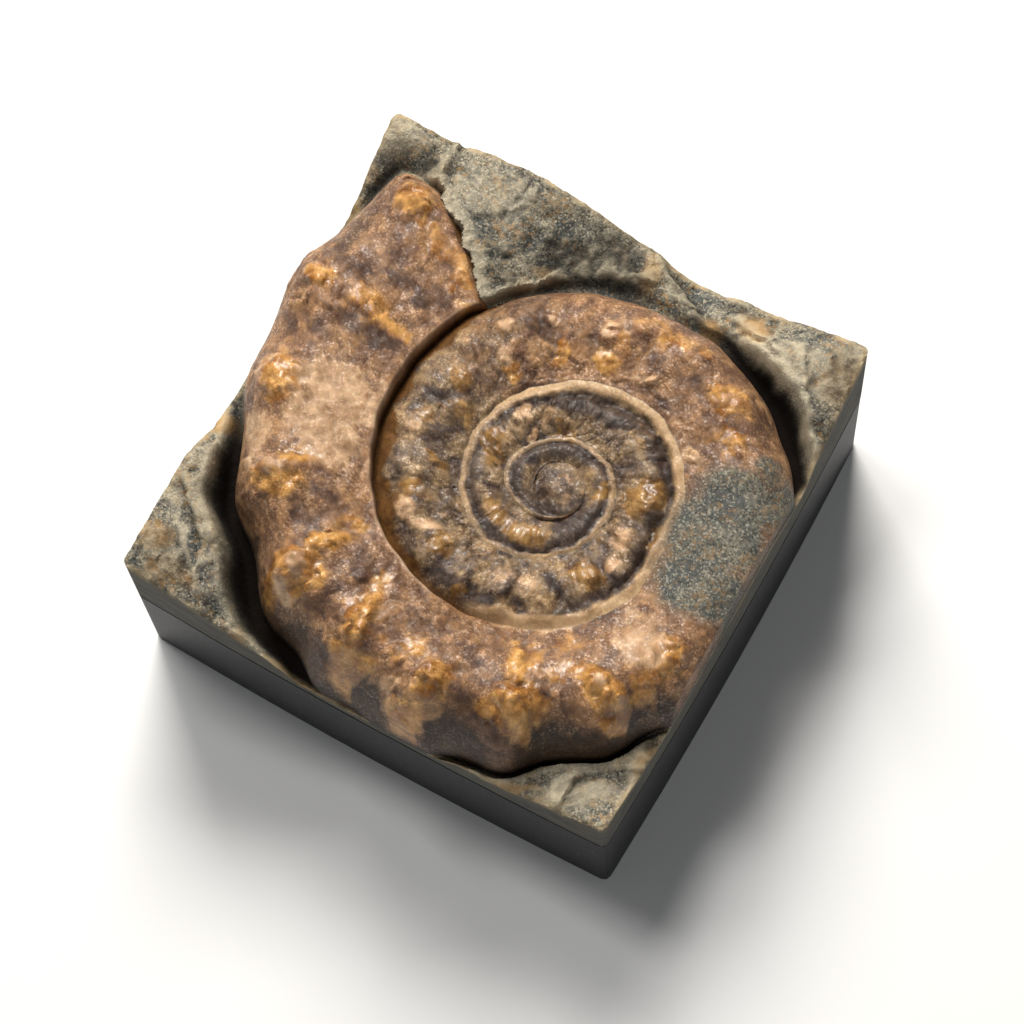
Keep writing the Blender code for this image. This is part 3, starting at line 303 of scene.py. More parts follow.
PLUM = (
    (2.4, 2.95, 1.7, 0.42, 0, 1.3), (4.7, 2.45, 0.9, 0.35, -42, 1.3), (0.1, 2.6, 0.7, 0.4, 40, 1),
    (1.6, 1.35, 1.1, 0.35, 15, 1), (0.75, 0.5, 0.4, 0.8, 0, 0.9), (3.2, -0.4, 0.35, 0.7, -15, 0.9),
    (4.4, -8.5, 2.3, 0.55, 8, 1.2), (7.9, -6.4, 1.2, 0.5, 48, 1), (-1.2, -8.6, 1, 0.4, -15, 0.9),
    (-5.6, 1.45, 1.7, 0.3, -3, 1.2), (-4.6, 1.6, 0.5, 0.3, 20, 0.7), (-5.1, 3.6, 1.6, 0.45, 0, 0.6),
    (-7.4, 3.3, 0.9, 0.3, 0, 0.6), (-6.4, 4.4, 1.3, 0.4, -8, 0.35), (-7.7, 0.9, 0.9, 0.6, 0, 0.5),
    (-4.6, -4.1, 0.9, 0.3, 10, 0.7), (-4.2, -4.9, 1, 0.5, -35, 0.7),
    (-1.6, -5.6, 0.8, 0.5, -20, 0.8), (-2, -7.3, 0.9, 0.6, -30, 0.7), (2.7, -6.4, 0.6, 0.5, 0, 0.6),
    (3.3, -7.8, 0.9, 0.4, -20, 0.7), (5.4, -6.4, 0.8, 0.4, -20, 0.8),
    (3.8, -8.7, 1.3, 0.35, 0, 0.9), (0.5, -6.2, 0.8, 0.4, 0, 0.5), (6.8, -7.1, 1.5, 0.4, 22, 0.9),
    (2.9, 5.4, 0.5, 0.25, 0, 0.7), (4.5, 5.3, 0.5, 0.3, 0, 0.5), (3.7, 4.1, 0.5, 0.15, 0, 0.8),
    (-2.9, 0.8, 0.35, 0.45, 0, 0.8), (-2.1, -0.1, 0.5, 0.25, 0, 0.9), (-3, -1.4, 0.4, 0.4, 0, 0.6),
    (-2, 3, 0.6, 0.3, 0, 0.6), (-1, 4.3, 0.7, 0.4, 0, 0.5), (2.4, 3.1, 1.3, 0.25, 0, 1),
    (4.3, 2.6, 0.8, 0.25, -40, 1), (0.9, 2.9, 0.6, 0.3, 30, 0.6), (1.6, -2.5, 1.2, 0.2, 0, 0.8),
    (3.4, -1.6, 0.3, 0.6, -30, 0.7), (3.7, -0.6, 0.3, 0.8, 0, 0.8), (0.3, -0.9, 0.4, 0.3, -40, 0.5),
    (1.5, 1.3, 0.9, 0.2, 20, 0.7), (5.4, 2.1, 0.4, 0.6, 30, 0.7), (3.9, -2.8, 0.5, 0.35, 0, 0.9),
    (2.9, -4.1, 0.5, 0.3, 0, 0.8), (5.4, -2.9, 0.4, 0.4, 0, 0.8), (0.6, -3.3, 0.6, 0.3, 0, 0.6),
    (0.8, -4.4, 0.8, 0.25, 0, 0.7), (2.3, -4.6, 0.5, 0.25, 0, 0.8))
SLATE = (
    (-8, 4.6, 0.45, 1.3, 0, 0.6), (-5.9, -6.4, 0.35, 0.9, 40, 0.9), (-4, -8, 1.6, 0.4, -35, 0.8),
    (-2.4, -8.6, 1.2, 0.5, -30, 0.6), (-0.2, -8.9, 0.9, 0.3, 0, 0.6), (-1.3, 4.6, 0.7, 0.5, 0, 0.5),
    (-2.3, 3.3, 0.5, 0.4, 0, 0.6), (4.8, -0.3, 0.5, 0.5, 0, 0.6), (1.5, 0.3, 0.4, 0.8, 0, 0.4),
    (7, 5, 0.9, 0.3, -38, 0.4), (4.6, 6.2, 0.9, 0.25, -12, 0.4), (-1.4, 2.4, 0.5, 0.5, 0, 0.5),
    (1.7, 2.6, 0.6, 0.3, 0, 0.5), (1, 4.9, 0.4, 0.3, 0, 0.3))
ROCK_ON_SHELL = (
    (7.6, 1, 1.5, 1.6, 0, 1.6), (8, -0.8, 1.6, 1, 0, 1.6), (7.75, 2.5, 1.45, 0.8, 0, 1.6),
    (8, 3.7, 0.5, 0.5, 0, 0.9), (9, 3.2, 0.6, 0.8, 0, 1.4))

# Patches on the rock, in the same form
PALE_ROCK = (
    (8, 7.6, 0.9, 0.35, -50, 0.5), (6.4, 7.4, 1, 0.4, -10, 0.8), (7.3, 8, 0.8, 0.25, 0, 0.7),
    (-8.7, -6, 0.25, 0.7, 20, 0.4), (-7.6, -7.3, 1.1, 0.12, -45, 0.9),
    (7.6, -8.3, 1.4, 0.5, 30, 0.9), (8.9, -6.6, 0.35, 0.9, 0, 0.9), (-6.9, 7.5, 0.4, 0.2, 20, 0.8),
    (-4.9, 6.3, 0.9, 0.2, -35, 0.6), (8.4, 8.4, 0.9, 0.9, 0, 0.3), (8.3, 5.6, 0.7, 0.4, -40, 0.8),
    (-8.5, 8.3, 0.6, 0.6, 0, 0.55), (-4.4, 7.9, 1.5, 0.8, 0, 0.4), (5.3, 7.75, 0.9, 0.15, -5, 1.2),
    (6.8, 8, 0.7, 0.12, 0, 1.1), (7.6, 7.5, 0.15, 0.5, 15, 1.1), (8.3, 6.9, 0.5, 0.15, -10, 1),
    (4.55, 8.2, 0.15, 0.3, 0, 1.2))
OCHRE = (
    (5.2, 8.2, 0.7, 0.4, -10, 1), (1.1, 8.3, 0.35, 0.7, 10, 0.8), (3.7, 7.7, 0.5, 0.3, -35, 1),
    (-2.6, -9.1, 0.9, 0.2, 0, 1.2), (-9, 4.8, 0.35, 1.3, 0, 0.9), (-2.3, 5.2, 0.35, 0.7, -25, 0.5),
    (-8.4, -7.6, 0.5, 0.5, 0, 0.6), (-7.4, -8.4, 0.9, 0.4, 0, 0.4), (8.6, 7.6, 0.6, 0.9, 0, 0.4),
    (8.9, -6.3, 0.2, 0.6, 0, 0.8), (-1.6, 6.6, 0.6, 0.2, 20, 0.6), (3.4, -9.1, 0.6, 0.15, 0, 1),
    (-8.9, -2.9, 0.4, 0.4, 0, 1.2), (5.6, -8.9, 0.9, 0.15, 12, 0.8), (-4.8, -9, 0.4, 0.2, 0, 0.6))
DARK_ROCK = (
    (8.4, 8, 0.6, 0.9, 0, 0.6), (-8.2, -8.2, 1.2, 1.1, 0, 0.45), (0.2, 7.9, 1, 0.9, 0, 0.95),
    (-1.3, 7.2, 1.3, 0.8, 20, 0.95), (-0.2, 8.3, 0.9, 0.7, 0, 0.9), (-3, 5.9, 1.2, 0.6, -35, 0.5),
    (-0.3, 8, 0.7, 1, 0, 0.8), (2.7, 8.1, 1, 0.25, -35, 1), (-8.2, 6.6, 0.4, 1.2, 0, 0.9),
    (-7, 8, 0.6, 0.35, 20, 1), (0.6, 7.3, 1.2, 0.3, 10, 0.5), (-3, 5.2, 0.9, 0.5, -30, 0.4),
    (-1.6, 5.7, 0.4, 0.3, 40, 0.7), (-8.2, -5.4, 0.5, 0.8, 0, 0.6), (4.2, 8.7, 0.5, 0.3, 0, 0.6),
    (6, 8.8, 1.6, 0.15, 0, 0.3), (-7.3, -6.6, 1.3, 0.35, -42, 0.4))

# Stage: lamps by name, direction, distance, size and colour; the rest in Blender's units,
# but the floor's half side in millimetres
LAMPS = (
    ("key", (-0.55, 0.75, 1.05), 260.0, 110.0, (1.0, 0.98, 0.95)),
    ("top", (-0.35, 0.1, 1.0), 300.0, 60.0, (1.0, 1.0, 1.0)),
    ("fill", (0.5, -0.9, 0.6), 320.0, 200.0, (0.95, 0.97, 1.0)))
TOP_POWER_SHARE = 0.3
LAMP_AIM = (0.0, 0.0, 0.007)
SKY_COLOUR = (0.92, 0.95, 1.0, 1.0)
FLOOR_REACH = 300.0
SENSOR_WIDTH = 36.0
CLIP_START = 0.01


def smooth_step(t):
    """Return 0 below 0, 1 above 1 and an S curve between."""
    t = np.clip(t, 0.0, 1.0)
    return t * t * (3.0 - 2.0 * t)


def lattice(ix, iy, seed):
    """Return a fixed pseudo-random value from -1 to 1 for each pair of whole numbers."""
    wave = np.sin(ix * 127.1 + iy * 311.7 + seed * 74.7) * 43758.5453
    return 2.0 * (wave - np.floor(wave)) - 1.0


def lumps(x, y, size, seed):
    """Return smooth noise from -1 to 1 with lumps of the given size."""
    u, v = x / size, y / size
    iu, iv = np.floor(u), np.floor(v)
    su, sv = smooth_step(u - iu), smooth_step(v - iv)
    low = lattice(iu, iv, seed) * (1 - su) + lattice(iu + 1, iv, seed) * su
    high = lattice(iu, iv + 1, seed) * (1 - su) + lattice(iu + 1, iv + 1, seed) * su
    return low * (1 - sv) + high * sv


def roughness(x, y, size, seed, layers):
    """Return noise from about -1 to 1 with ever finer lumps laid over each other."""
    total = np.zeros_like(x)
    for layer in range(layers):
        share = 0.62 ** layer
        turn = 0.6 * layer
        u = x * math.cos(turn) - y * math.sin(turn)
        v = x * math.sin(turn) + y * math.cos(turn)
        total += share * lumps(u, v, size / 1.9 ** layer, seed + layer)
    return total


def grains(x, y, size, seed):
    """Return, for irregular crystals side by side, how far a point is from their joints (0 to
    about 1), the relief of its crystal's tilted face, and the crystal's own tone, -1 to 1."""
    iu, iv = np.floor(x / size), np.floor(y / size)
    nearest = np.full_like(x, 9.0)
    second = np.full_like(x, 9.0)
    face = np.zeros_like(x)
    tone = np.zeros_like(x)
    for du in (-1, 0, 1):
        for dv in (-1, 0, 1):
            cu, cv = iu + du, iv + dv
            px = (cu + 0.5 + 0.42 * lattice(cu, cv, seed)) * size
            py = (cv + 0.5 + 0.42 * lattice(cu, cv, seed + 1)) * size
            gap = np.hypot(x - px, y - py) / size
            lean_x, lean_y = lattice(cu, cv, seed + 2), lattice(cu, cv, seed + 3)
            closer = gap < nearest
            second = np.where(closer, nearest, np.minimum(second, gap))
            face = np.where(closer, ((x - px) * lean_x + (y - py) * lean_y) / size, face)
            tone = np.where(closer, lattice(cu, cv, seed + 4), tone)
            nearest = np.where(closer, gap, nearest)
    return second - nearest, face, tone


def shell_crystals(x, y, angle):
    """Return the crystals of the shell: their joints, faces and tones, large on inner turns."""
    warp_x = x + 0.13 * roughness(x, y, 0.7, 21, 3)
    warp_y = y + 0.13 * roughness(x, y, 0.7, 25, 3)
    later = smooth_step((angle - 430) / 50)
    small = grains(warp_x, warp_y, OUTER_CRYSTAL, 31)
    large = grains(warp_x, warp_y, INNER_CRYSTAL, 3)
    return [a + (b - a) * later for a, b in zip(small, large)]


def along(angle, table):
    """Read a table of (angle, value) pairs at an angle along the coil."""
    angles, values = zip(*table)
    return np.interp(angle, angles, values)


def ragged(x, y, amount, size, seeds):
    """Return points pushed about by noise, so that an outline drawn through them is ragged."""
    x = x + amount * roughness(x, y, size, seeds[0], 3)
    return x, y + amount * roughness(x, y, size, seeds[1], 3)


def ovals(x, y, table, reach, soft):
    """Return how strongly each point lies in a table's ovals, which fade out at a reach."""
    total = np.zeros_like(x)
    for px, py, length, width, turn, strength in table:
        c, s = math.cos(math.radians(turn)), math.sin(math.radians(turn))
        u = ((x - px) * c + (y - py) * s) / length
        v = ((y - py) * c - (x - px) * s) / width
        total = np.maximum(total, strength * smooth_step((reach - np.hypot(u, v)) / soft))
    return total


def patches(x, y, table, amount, seed, tone=None):
    """Return how far each point lies in oval patches: soft and ragged, or with an outline
    that follows the crystals whose tone is given."""
    x, y = ragged(x, y, amount, 0.7, (seed, seed + 20))
    total = ovals(x, y, table, 1.45, 1.0)
    return total if tone is None else smooth_step((total + 0.3 * tone - 0.25) / 0.5)


def rib_wave(angle):
    """Return the height of the ribs at an angle along the coil."""
    height = np.zeros_like(angle)
    for place, size, width in OUTER_RIBS:
        height += size * np.exp(-((angle - place) / width) ** 2)
    half = LATER_RIB_STEP / 2
    past = np.mod(angle - LATER_RIB_FIRST + half, LATER_RIB_STEP) - half
    later = LATER_RIB_HEIGHT * np.exp(-(past / LATER_RIB_WIDTH) ** 2)
    inside = (angle > LATER_RIB_FIRST - 8) & (angle < LATER_RIB_END)
    return height + np.where(inside, later, 0.0)


def coil_radius(angle):
    """Return the radius of the coil's outer edge by a cubic through COIL_RADII."""
    radii = np.array(COIL_RADII)
    place = np.clip((angle - COIL_FIRST) / COIL_STEP, 0.0, len(radii) - 1.0001)
    index = np.floor(place).astype(int)
    t = place - index
    p0 = radii[np.maximum(index - 1, 0)]
    p1 = radii[index]
    p2 = radii[index + 1]
    p3 = radii[np.minimum(index + 2, len(radii) - 1)]
    smooth = p1 + 0.5 * t * (p2 - p0 + t * (2 * p0 - 5 * p1 + 4 * p2 - p3
                                            + t * (3 * (p1 - p2) + p3 - p0)))
    outer_turn = smooth_step((400 - angle) / 60)
    next_turn = smooth_step((angle - 392) / 20) * smooth_step((520 - angle) / 20)
    ribs = rib_wave(angle)
    smooth = smooth + RIB_PUSH * outer_turn * (ribs / 0.5 - 0.4)
    smooth = smooth + LATER_RIB_PUSH * next_turn * (ribs - 0.1)
    smooth = smooth - MOUTH_ROUNDING * smooth_step((MOUTH_ANGLE + 4.5 - angle) / 5.5)
    turn = np.radians(angle)
    ripple = 0.6 * np.sin(9.3 * turn + 1.0) + 0.5 * np.sin(16.7 * turn) + 0.4 * np.sin(31.1 * turn)
    middle = smooth_step((angle - 150) / 30), smooth_step((1300 - angle) / 200)
    return smooth + WOBBLE * ripple * middle[0] * middle[1]


def inner_radius(angle):
    """Return the radius of the coil's inner edge: the next turn in, or the hub."""
    hub = along(np.mod(angle, 360.0), HUB_RADII)
    return np.where(angle + 360.0 <= COIL_LAST, coil_radius(angle + 360.0), hub)


def mouth_angle(distance):
    """Return where the shell's outer end breaks off: a line that bows outwards in the middle."""
    return MOUTH_ANGLE - MOUTH_BOW * np.exp(-((distance - 7.9) / 1.7) ** 2)


def coil_place(x, y, fray=0.0):
    """Return the angle along the coil and the distance outside it, from a frayed mouth on."""
    dx, dy = x - COIL_CENTRE[0], y - COIL_CENTRE[1]
    distance = np.hypot(dx, dy)
    mouth = mouth_angle(distance) + fray * roughness(x, y, 0.9, 199, 4)
    angle = np.mod(np.degrees(np.arctan2(dy, dx)) - mouth, 360.0) + mouth
    found = angle.copy()
    for turn in (1, 2, 3):
        inner = coil_radius(angle + 360.0 * turn)
        reachable = angle + 360.0 * turn <= COIL_LAST
        found = np.where((distance < inner) & reachable, angle + 360.0 * turn, found)
    return found, distance - coil_radius(found)


def side_bulge(t):
    """Return how far a side stands out at t, from -1 to 1 between its corners."""
    return SIDE_BULGE * (1.0 - np.clip(t, -1, 1) ** 2)


def inside_block(x, y):
    """Return how far inside the block's sides each point is."""
    return np.minimum(SIDE / 2 + side_bulge(y / STRAIGHT) - np.abs(x),
                      SIDE / 2 + side_bulge(x / STRAIGHT) - np.abs(y))


def block_radius(angle):
    """Return how far the block's side is from the coil's centre in the direction of an angle,
    found by steps because the sides are bowed."""
    ways = np.cos(np.radians(angle)), np.sin(np.radians(angle))
    radius = np.full_like(angle, SIDE / 2)
    for _ in range(12):
        place = [middle + radius * way for middle, way in zip(COIL_CENTRE, ways)]
        reaches = []
        for middle, way, across in zip(COIL_CENTRE, ways, reversed(place)):
            limit = SIDE / 2 + side_bulge(across / STRAIGHT)
            slope = np.where(np.abs(way) < 1e-6, 1e-6, way)
            reaches.append(np.abs((np.sign(way) * limit - middle) / slope))
        radius = np.minimum(*reaches)
    return radius


def knob_relief(x, y):
    """Return the height of the knobs and chips, each a dome with a ragged outline."""
    x, y = ragged(x, y, 0.1, 0.6, (11, 15))
    return ovals(x, y, KNOBS, 1.2, 0.7)


def whorl_height(angle, v):
    """Return the height of a plain round whorl, at a share of the way across from outside."""
    outer_half = v < CREST_PLACE
    t = np.where(outer_half, v / CREST_PLACE, (1 - v) / (1 - CREST_PLACE))
    seam = np.where(outer_half, angle, angle + 360.0)
    edge = along(seam, EDGE_HEIGHTS)
    steepness = np.where(outer_half, OUTER_STEEPNESS, INNER_STEEPNESS)
    steep = np.sqrt(np.clip(1.0 - (1.0 - t) ** steepness, 0.0, 1.0))
    gentle = np.sin(np.pi / 2 * t)
    mixed = INNER_STEEP_SHARE * steep + (1 - INNER_STEEP_SHARE) * gentle
    steep = np.where(outer_half, steep, mixed)
    softer = np.where(outer_half, (angle - 470) / 40, (seam - 600) / 50)
    arch = steep + (gentle - steep) * smooth_step(softer)
    return edge + (along(angle, CREST_HEIGHTS) - edge) * arch


def crystal_relief(x, y, angle, glassy):
    """Return the relief of the crystals, strongest where the shell is glassy and on its
    inner turns."""
    later_turn = smooth_step((angle - 440) / 40)
    glassy = np.maximum(glassy, later_turn * smooth_step((1300 - angle) / 400))
    joint, face, tone = shell_crystals(x, y, angle)
    pillow = smooth_step(joint / 0.4) - 0.5
    coarse = (0.1 - 0.04 * later_turn) * pillow * (0.7 + 0.3 * tone)
    coarse = coarse + (0.26 - 0.1 * later_turn) * face * (0.7 * pillow + 0.65)
    joint, face = grains(x + 0.03 * lumps(x, y, 0.3, 43), y, FINE_CRYSTAL, 41)[:2]
    fine = 0.02 * (smooth_step(joint / 0.5) - 0.5) + 0.06 * face
    return np.maximum(glassy, 0.25) * coarse + np.maximum(glassy, 0.4) * fine


def seam_relief(x, y, angle, out, from_inner):
    """Return the height of the rims beside the seams, the depth of the dip inside a rim, and
    how far a point lies on the plain rim of an inner turn."""
    uneven = 1.0 + 0.15 * lumps(x, y, 0.7, 91) + 0.15 * lumps(x, y, 0.3, 92)
    width = along(angle, RIM_WIDTHS) * uneven
    scallops = 1.0 + 0.25 * np.sin(np.radians(angle) * 31.0) + 0.3 * lumps(x, y, 0.45, 94)
    rim = along(angle, RIM_HEIGHTS) * smooth_step((2.0 - out / width) / 0.9)
    beyond = from_inner / (1.5 * along(angle + 360, RIM_WIDTHS))
    rim = rim + along(angle + 360, RIM_HEIGHTS) * np.exp(-beyond ** 2)
    place = (out - 2.7 * width * (0.85 + 0.15 * scallops)) / (0.9 * width)
    dip = along(angle, DIP_DEPTHS) * np.exp(-place ** 2)
    plain = smooth_step((2.2 - out / width) / 0.8) * smooth_step((angle - 620) / 30)
    return rim, dip, plain


def shell_height(x, y, angle, outer, inner, radius):
    """Return the height of the shell: a round whorl with ribs, knobs, crystals and seams."""
    v = np.clip((outer - radius) / np.maximum(outer - inner, 0.01), 0.0, 1.0)
    body = smooth_step(v / np.where(angle < 400, 0.06, 0.2)) * smooth_step((1 - v) / 0.06)
    wave = rib_wave(angle)
    ribs = wave * np.exp(-((v - RIB_PLACE) / RIB_REACH) ** 2)
    on_ribs = smooth_step((wave - 0.08) / 0.25) * smooth_step((0.66 - v) / 0.25)
    rough = 0.05 * (lumps(x, y, 1.3, 5) + 0.7 * lumps(x, y, 0.6, 6))
    knobs = knob_relief(x, y) * (1.0 - 0.3 * smooth_step((400 - angle) / 20))
    glassy = np.maximum(on_ribs, np.clip(knobs / 0.15, 0.0, 1.0))
    crystal = crystal_relief(x, y, angle, glassy)
    height = whorl_height(angle, v) + body * (ribs + rough + crystal + knobs)
    height = height + 0.008 * roughness(x, y, 0.2, 51, 3)
    rim, dip, plain = seam_relief(x, y, angle, outer - radius, radius - inner)
    height = height - body * (crystal + 0.7 * knobs) * plain + rim - dip
    over = np.maximum(height - TOP_LIMIT + SOFT_TOP, 0.0)
    return height - over + SOFT_TOP * np.tanh(over / SOFT_TOP)


class RockTop:
    """Smooth surface through the spot heights, a thin plate bent over them."""

    def __init__(self, spots):
        self.spots = np.array(spots)
        count = len(spots)
        plane = np.column_stack([np.ones(count), self.spots[:, :2]])
        system = np.zeros((count + 3, count + 3))
        system[:count, :count] = self.bend(self.spots[:, 0], self.spots[:, 1])
        system[:count, :count] += 0.02 * np.eye(count)
        system[:count, count:] = plane
        system[count:, :count] = plane.T
        right = np.concatenate([self.spots[:, 2], np.zeros(3)])
        self.weights = np.linalg.solve(system, right)

    def bend(self, x, y):
        """Return how each spot bends the plate at each point."""
        square = ((x[:, None] - self.spots[None, :, 0]) ** 2
                  + (y[:, None] - self.spots[None, :, 1]) ** 2)
        return 0.5 * square * np.log(np.maximum(square, 1e-12))

    def height(self, x, y):
        """Return the height of the plate over each point."""
        a, b, c = self.weights[-3:]
        return self.bend(x, y) @ self.weights[:-3] + a + b * x + c * y


def ledge(x, y, start, end, drop, reach):
    """Return the relief of a broken ledge: higher to the left of the line from start to end,
    lower to its right, fading over a distance to both sides and past its ends."""
    x, y = ragged(x, y, 0.1, 0.7, (211, 214))
    length = math.hypot(end[0] - start[0], end[1] - start[1])
    c, s = (end[0] - start[0]) / length, (end[1] - start[1]) / length
    on = (x - start[0]) * c + (y - start[1]) * s
    left = (y - start[1]) * c - (x - start[0]) * s
    past = np.maximum(np.maximum(-on, on - length), 0.0)
    edge = np.tanh(left / 0.07) * np.exp(-np.abs(left) / reach)
    return 0.5 * drop * edge * np.exp(-(past / 0.3) ** 2)


def rock_height(x, y):
    """Return the height of the broken rock, sunk to a groove beside the shell and under it."""
    angle, outside = coil_place(x, y, 1.3)
    top = RockTop(ROCK_SPOTS).height(x, y)
    top = top + 0.07 * (lumps(x, y, 1.1, 8) + 0.7 * lumps(x, y, 0.55, 9))
    for x1, y1, x2, y2, drop, reach in LEDGES:
        top = top + ledge(x, y, (x1, y1), (x2, y2), drop, reach)
    warp_x = x + 0.2 * roughness(x, y, 1.0, 63, 3)
    warp_y = y + 0.2 * roughness(x, y, 1.0, 66, 3)
    joint, face = grains(warp_x, warp_y, 0.9, 61)[:2]
    top = top + 0.14 * face * smooth_step(joint / 0.3)
    joint, face, tone = grains(warp_x, warp_y, 0.36, 71)
    top = top + 0.06 * face + 0.03 * tone * smooth_step(joint / 0.3)
    top = top + 0.035 * roughness(x, y, 0.3, 75, 4)
    floor = along(angle, EDGE_HEIGHTS) + 0.05 * roughness(x, y, 0.8, 81, 3)
    rise = smooth_step((outside / along(angle, GROOVE_WIDTHS) - 0.3) / 0.7)
    beside = floor + (top - floor) * rise
    sunk = smooth_step((-outside - 0.15) / 0.3) * smooth_step((inside_block(x, y) - 0.1) / 0.4)
    under = np.where(angle < SECOND_TURN, floor + 0.05 - 1.1 * sunk, ROCK_UNDER_TURNS)
    return np.where(outside > 0.0, beside, under)


def select_only(piece):
    """Make an object the only one selected, and the active one."""
    bpy.ops.object.select_all(action="DESELECT")
    piece.select_set(True)
    bpy.context.view_layer.objects.active = piece


def flat_grid(name, columns, rows):
    """Add a square grid that reaches from -1 to 1 each way."""
    bpy.ops.object.select_all(action="DESELECT")
    bpy.ops.mesh.primitive_grid_add(x_subdivisions=columns, y_subdivisions=rows, size=2.0)
    piece = bpy.context.object
    piece.name = name
    piece.data.name = name
    return piece


def read_points(piece):
    """Return a mesh's points as an array of rows."""
    flat = np.empty(len(piece.data.vertices) * 3)
    piece.data.vertices.foreach_get("co", flat)
    return flat.reshape(-1, 3)


def move_points(piece, points):
    """Put a mesh's points at new places, given in millimetres."""
    piece.data.vertices.foreach_set("co", (points * MM).astype(np.float32).ravel())
    piece.data.update()


def add_mask(piece, name, values):
    """Store one number for each point of a mesh, for its material to read."""
    layer = piece.data.attributes.new(name, "FLOAT", "POINT")
    layer.data.foreach_set("value", values.astype(np.float32))


def face_outwards():
    """Turn all faces of the mesh that is edited outwards, and leave edit mode."""
    bpy.ops.mesh.select_all(action="SELECT")
    bpy.ops.mesh.normals_make_consistent(inside=False)
    bpy.ops.object.mode_set(mode="OBJECT")


def close_strip(piece, rows):
    """Close the underside and the two ends of a bent strip."""
    select_only(piece)
    count = len(piece.data.vertices)
    columns = count // (rows + 1)
    picked = np.zeros(count, bool)
    picked[:columns] = True
    picked[-columns:] = True
    bpy.ops.object.mode_set(mode="EDIT")
    bpy.ops.mesh.select_all(action="DESELECT")
    bpy.ops.object.mode_set(mode="OBJECT")
    edges = np.empty(len(piece.data.edges) * 2, np.int32)
    piece.data.edges.foreach_get("vertices", edges)
    edges = edges.reshape(-1, 2)
    long_edge = ((edges < columns).all(1)) | ((edges >= count - columns).all(1))
    piece.data.edges.foreach_set("select", long_edge)
    piece.data.vertices.foreach_set("select", picked)
    bpy.ops.object.mode_set(mode="EDIT")
    bpy.ops.mesh.select_mode(type="EDGE")
    bpy.ops.mesh.bridge_edge_loops()
    bpy.ops.mesh.select_all(action="SELECT")
    bpy.ops.mesh.fill_holes(sides=0)
    face_outwards()


def smoothed(grid, reach):
    """Return a grid of values averaged over a square that reaches some cells each way."""
    for axis in (0, 1):
        pad = [(0, 0), (0, 0)]
        pad[axis] = (reach + 1, reach)
        total = np.cumsum(np.pad(grid, pad, mode="edge"), axis=axis)
        size = grid.shape[axis]
        low = np.take(total, range(size), axis=axis)
        high = np.take(total, range(2 * reach + 1, 2 * reach + 1 + size), axis=axis)
        grid = (high - low) / (2 * reach + 1)
    return grid


def mark_relief(piece, cells, depth):
    """Store where a grid of heights lies below or above its local average, as masks for painted
    shade and painted highlight. Points after the grid's are neither.
    """
    level = cells
    for reach in RELIEF_REACHES:
        level = smoothed(level, reach)
    lift = np.zeros(len(piece.data.vertices))
    lift[:cells.size] = (cells - level).ravel()
    add_mask(piece, "hollow_shade", np.clip(-lift / depth, 0.0, 1.0))
    add_mask(piece, "proud_highlight", np.clip(lift / depth, 0.0, 1.0))


def make_strip(index):
    """Model one turn of the coil as a closed body: domed top, walls down into the rock."""
    first, last, columns, rows = STRIPS[index]
    piece = flat_grid(f"turn_{index}", columns, rows)
    flat = read_points(piece)
    angle = first + (last - first) * (flat[:, 0] + 1) / 2
    row = np.round((flat[:, 1] + 1) / 2 * rows).astype(int)
    place = np.clip((row - WALL_ROWS) / (rows - 2 * WALL_ROWS), 0.0, 1.0)
    place = place - 0.5 * np.sin(2 * np.pi * place) / (2 * np.pi)
    outer, inner = coil_radius(angle), inner_radius(angle)
    side = block_radius(angle)
    start = np.minimum(outer + OVERLAP * (angle > SECOND_TURN), side)
    cut = side < outer
    radius = start + (inner - start) * place
    turn = np.radians(angle)
    x = COIL_CENTRE[0] + radius * np.cos(turn)
    y = COIL_CENTRE[1] + radius * np.sin(turn)
    height = shell_height(x, y, angle, outer, inner, radius)
    height -= 2.0 * smooth_step((mouth_angle(radius) + 1.5 - angle) / 8.0)
    mark_relief(piece, height.reshape(rows + 1, columns + 1), SHELL_RELIEF)
    edge = along(angle, EDGE_HEIGHTS)
    foot = np.where(angle > SECOND_TURN, INNER_TURN_FOOT, np.where(cut, edge, edge - WALL_DEPTH))
    steps_out = np.maximum(WALL_ROWS - row, 0)
    steps_in = np.maximum(row - (rows - WALL_ROWS), 0)
    for steps, low in ((steps_out, foot), (steps_in, INNER_WALL_FOOT)):
        height = np.where(steps > 0, height + (low - height) * steps / WALL_ROWS, height)
    tuck = 0.10 * steps_in * (index < 2) - 0.06 * steps_out * np.where(cut, 0.0, 1.0)
    x = x + tuck * np.cos(turn)
    y = y + tuck * np.sin(turn)
    move_points(piece, np.column_stack([x, y, height]))
    close_strip(piece, rows)
    return piece


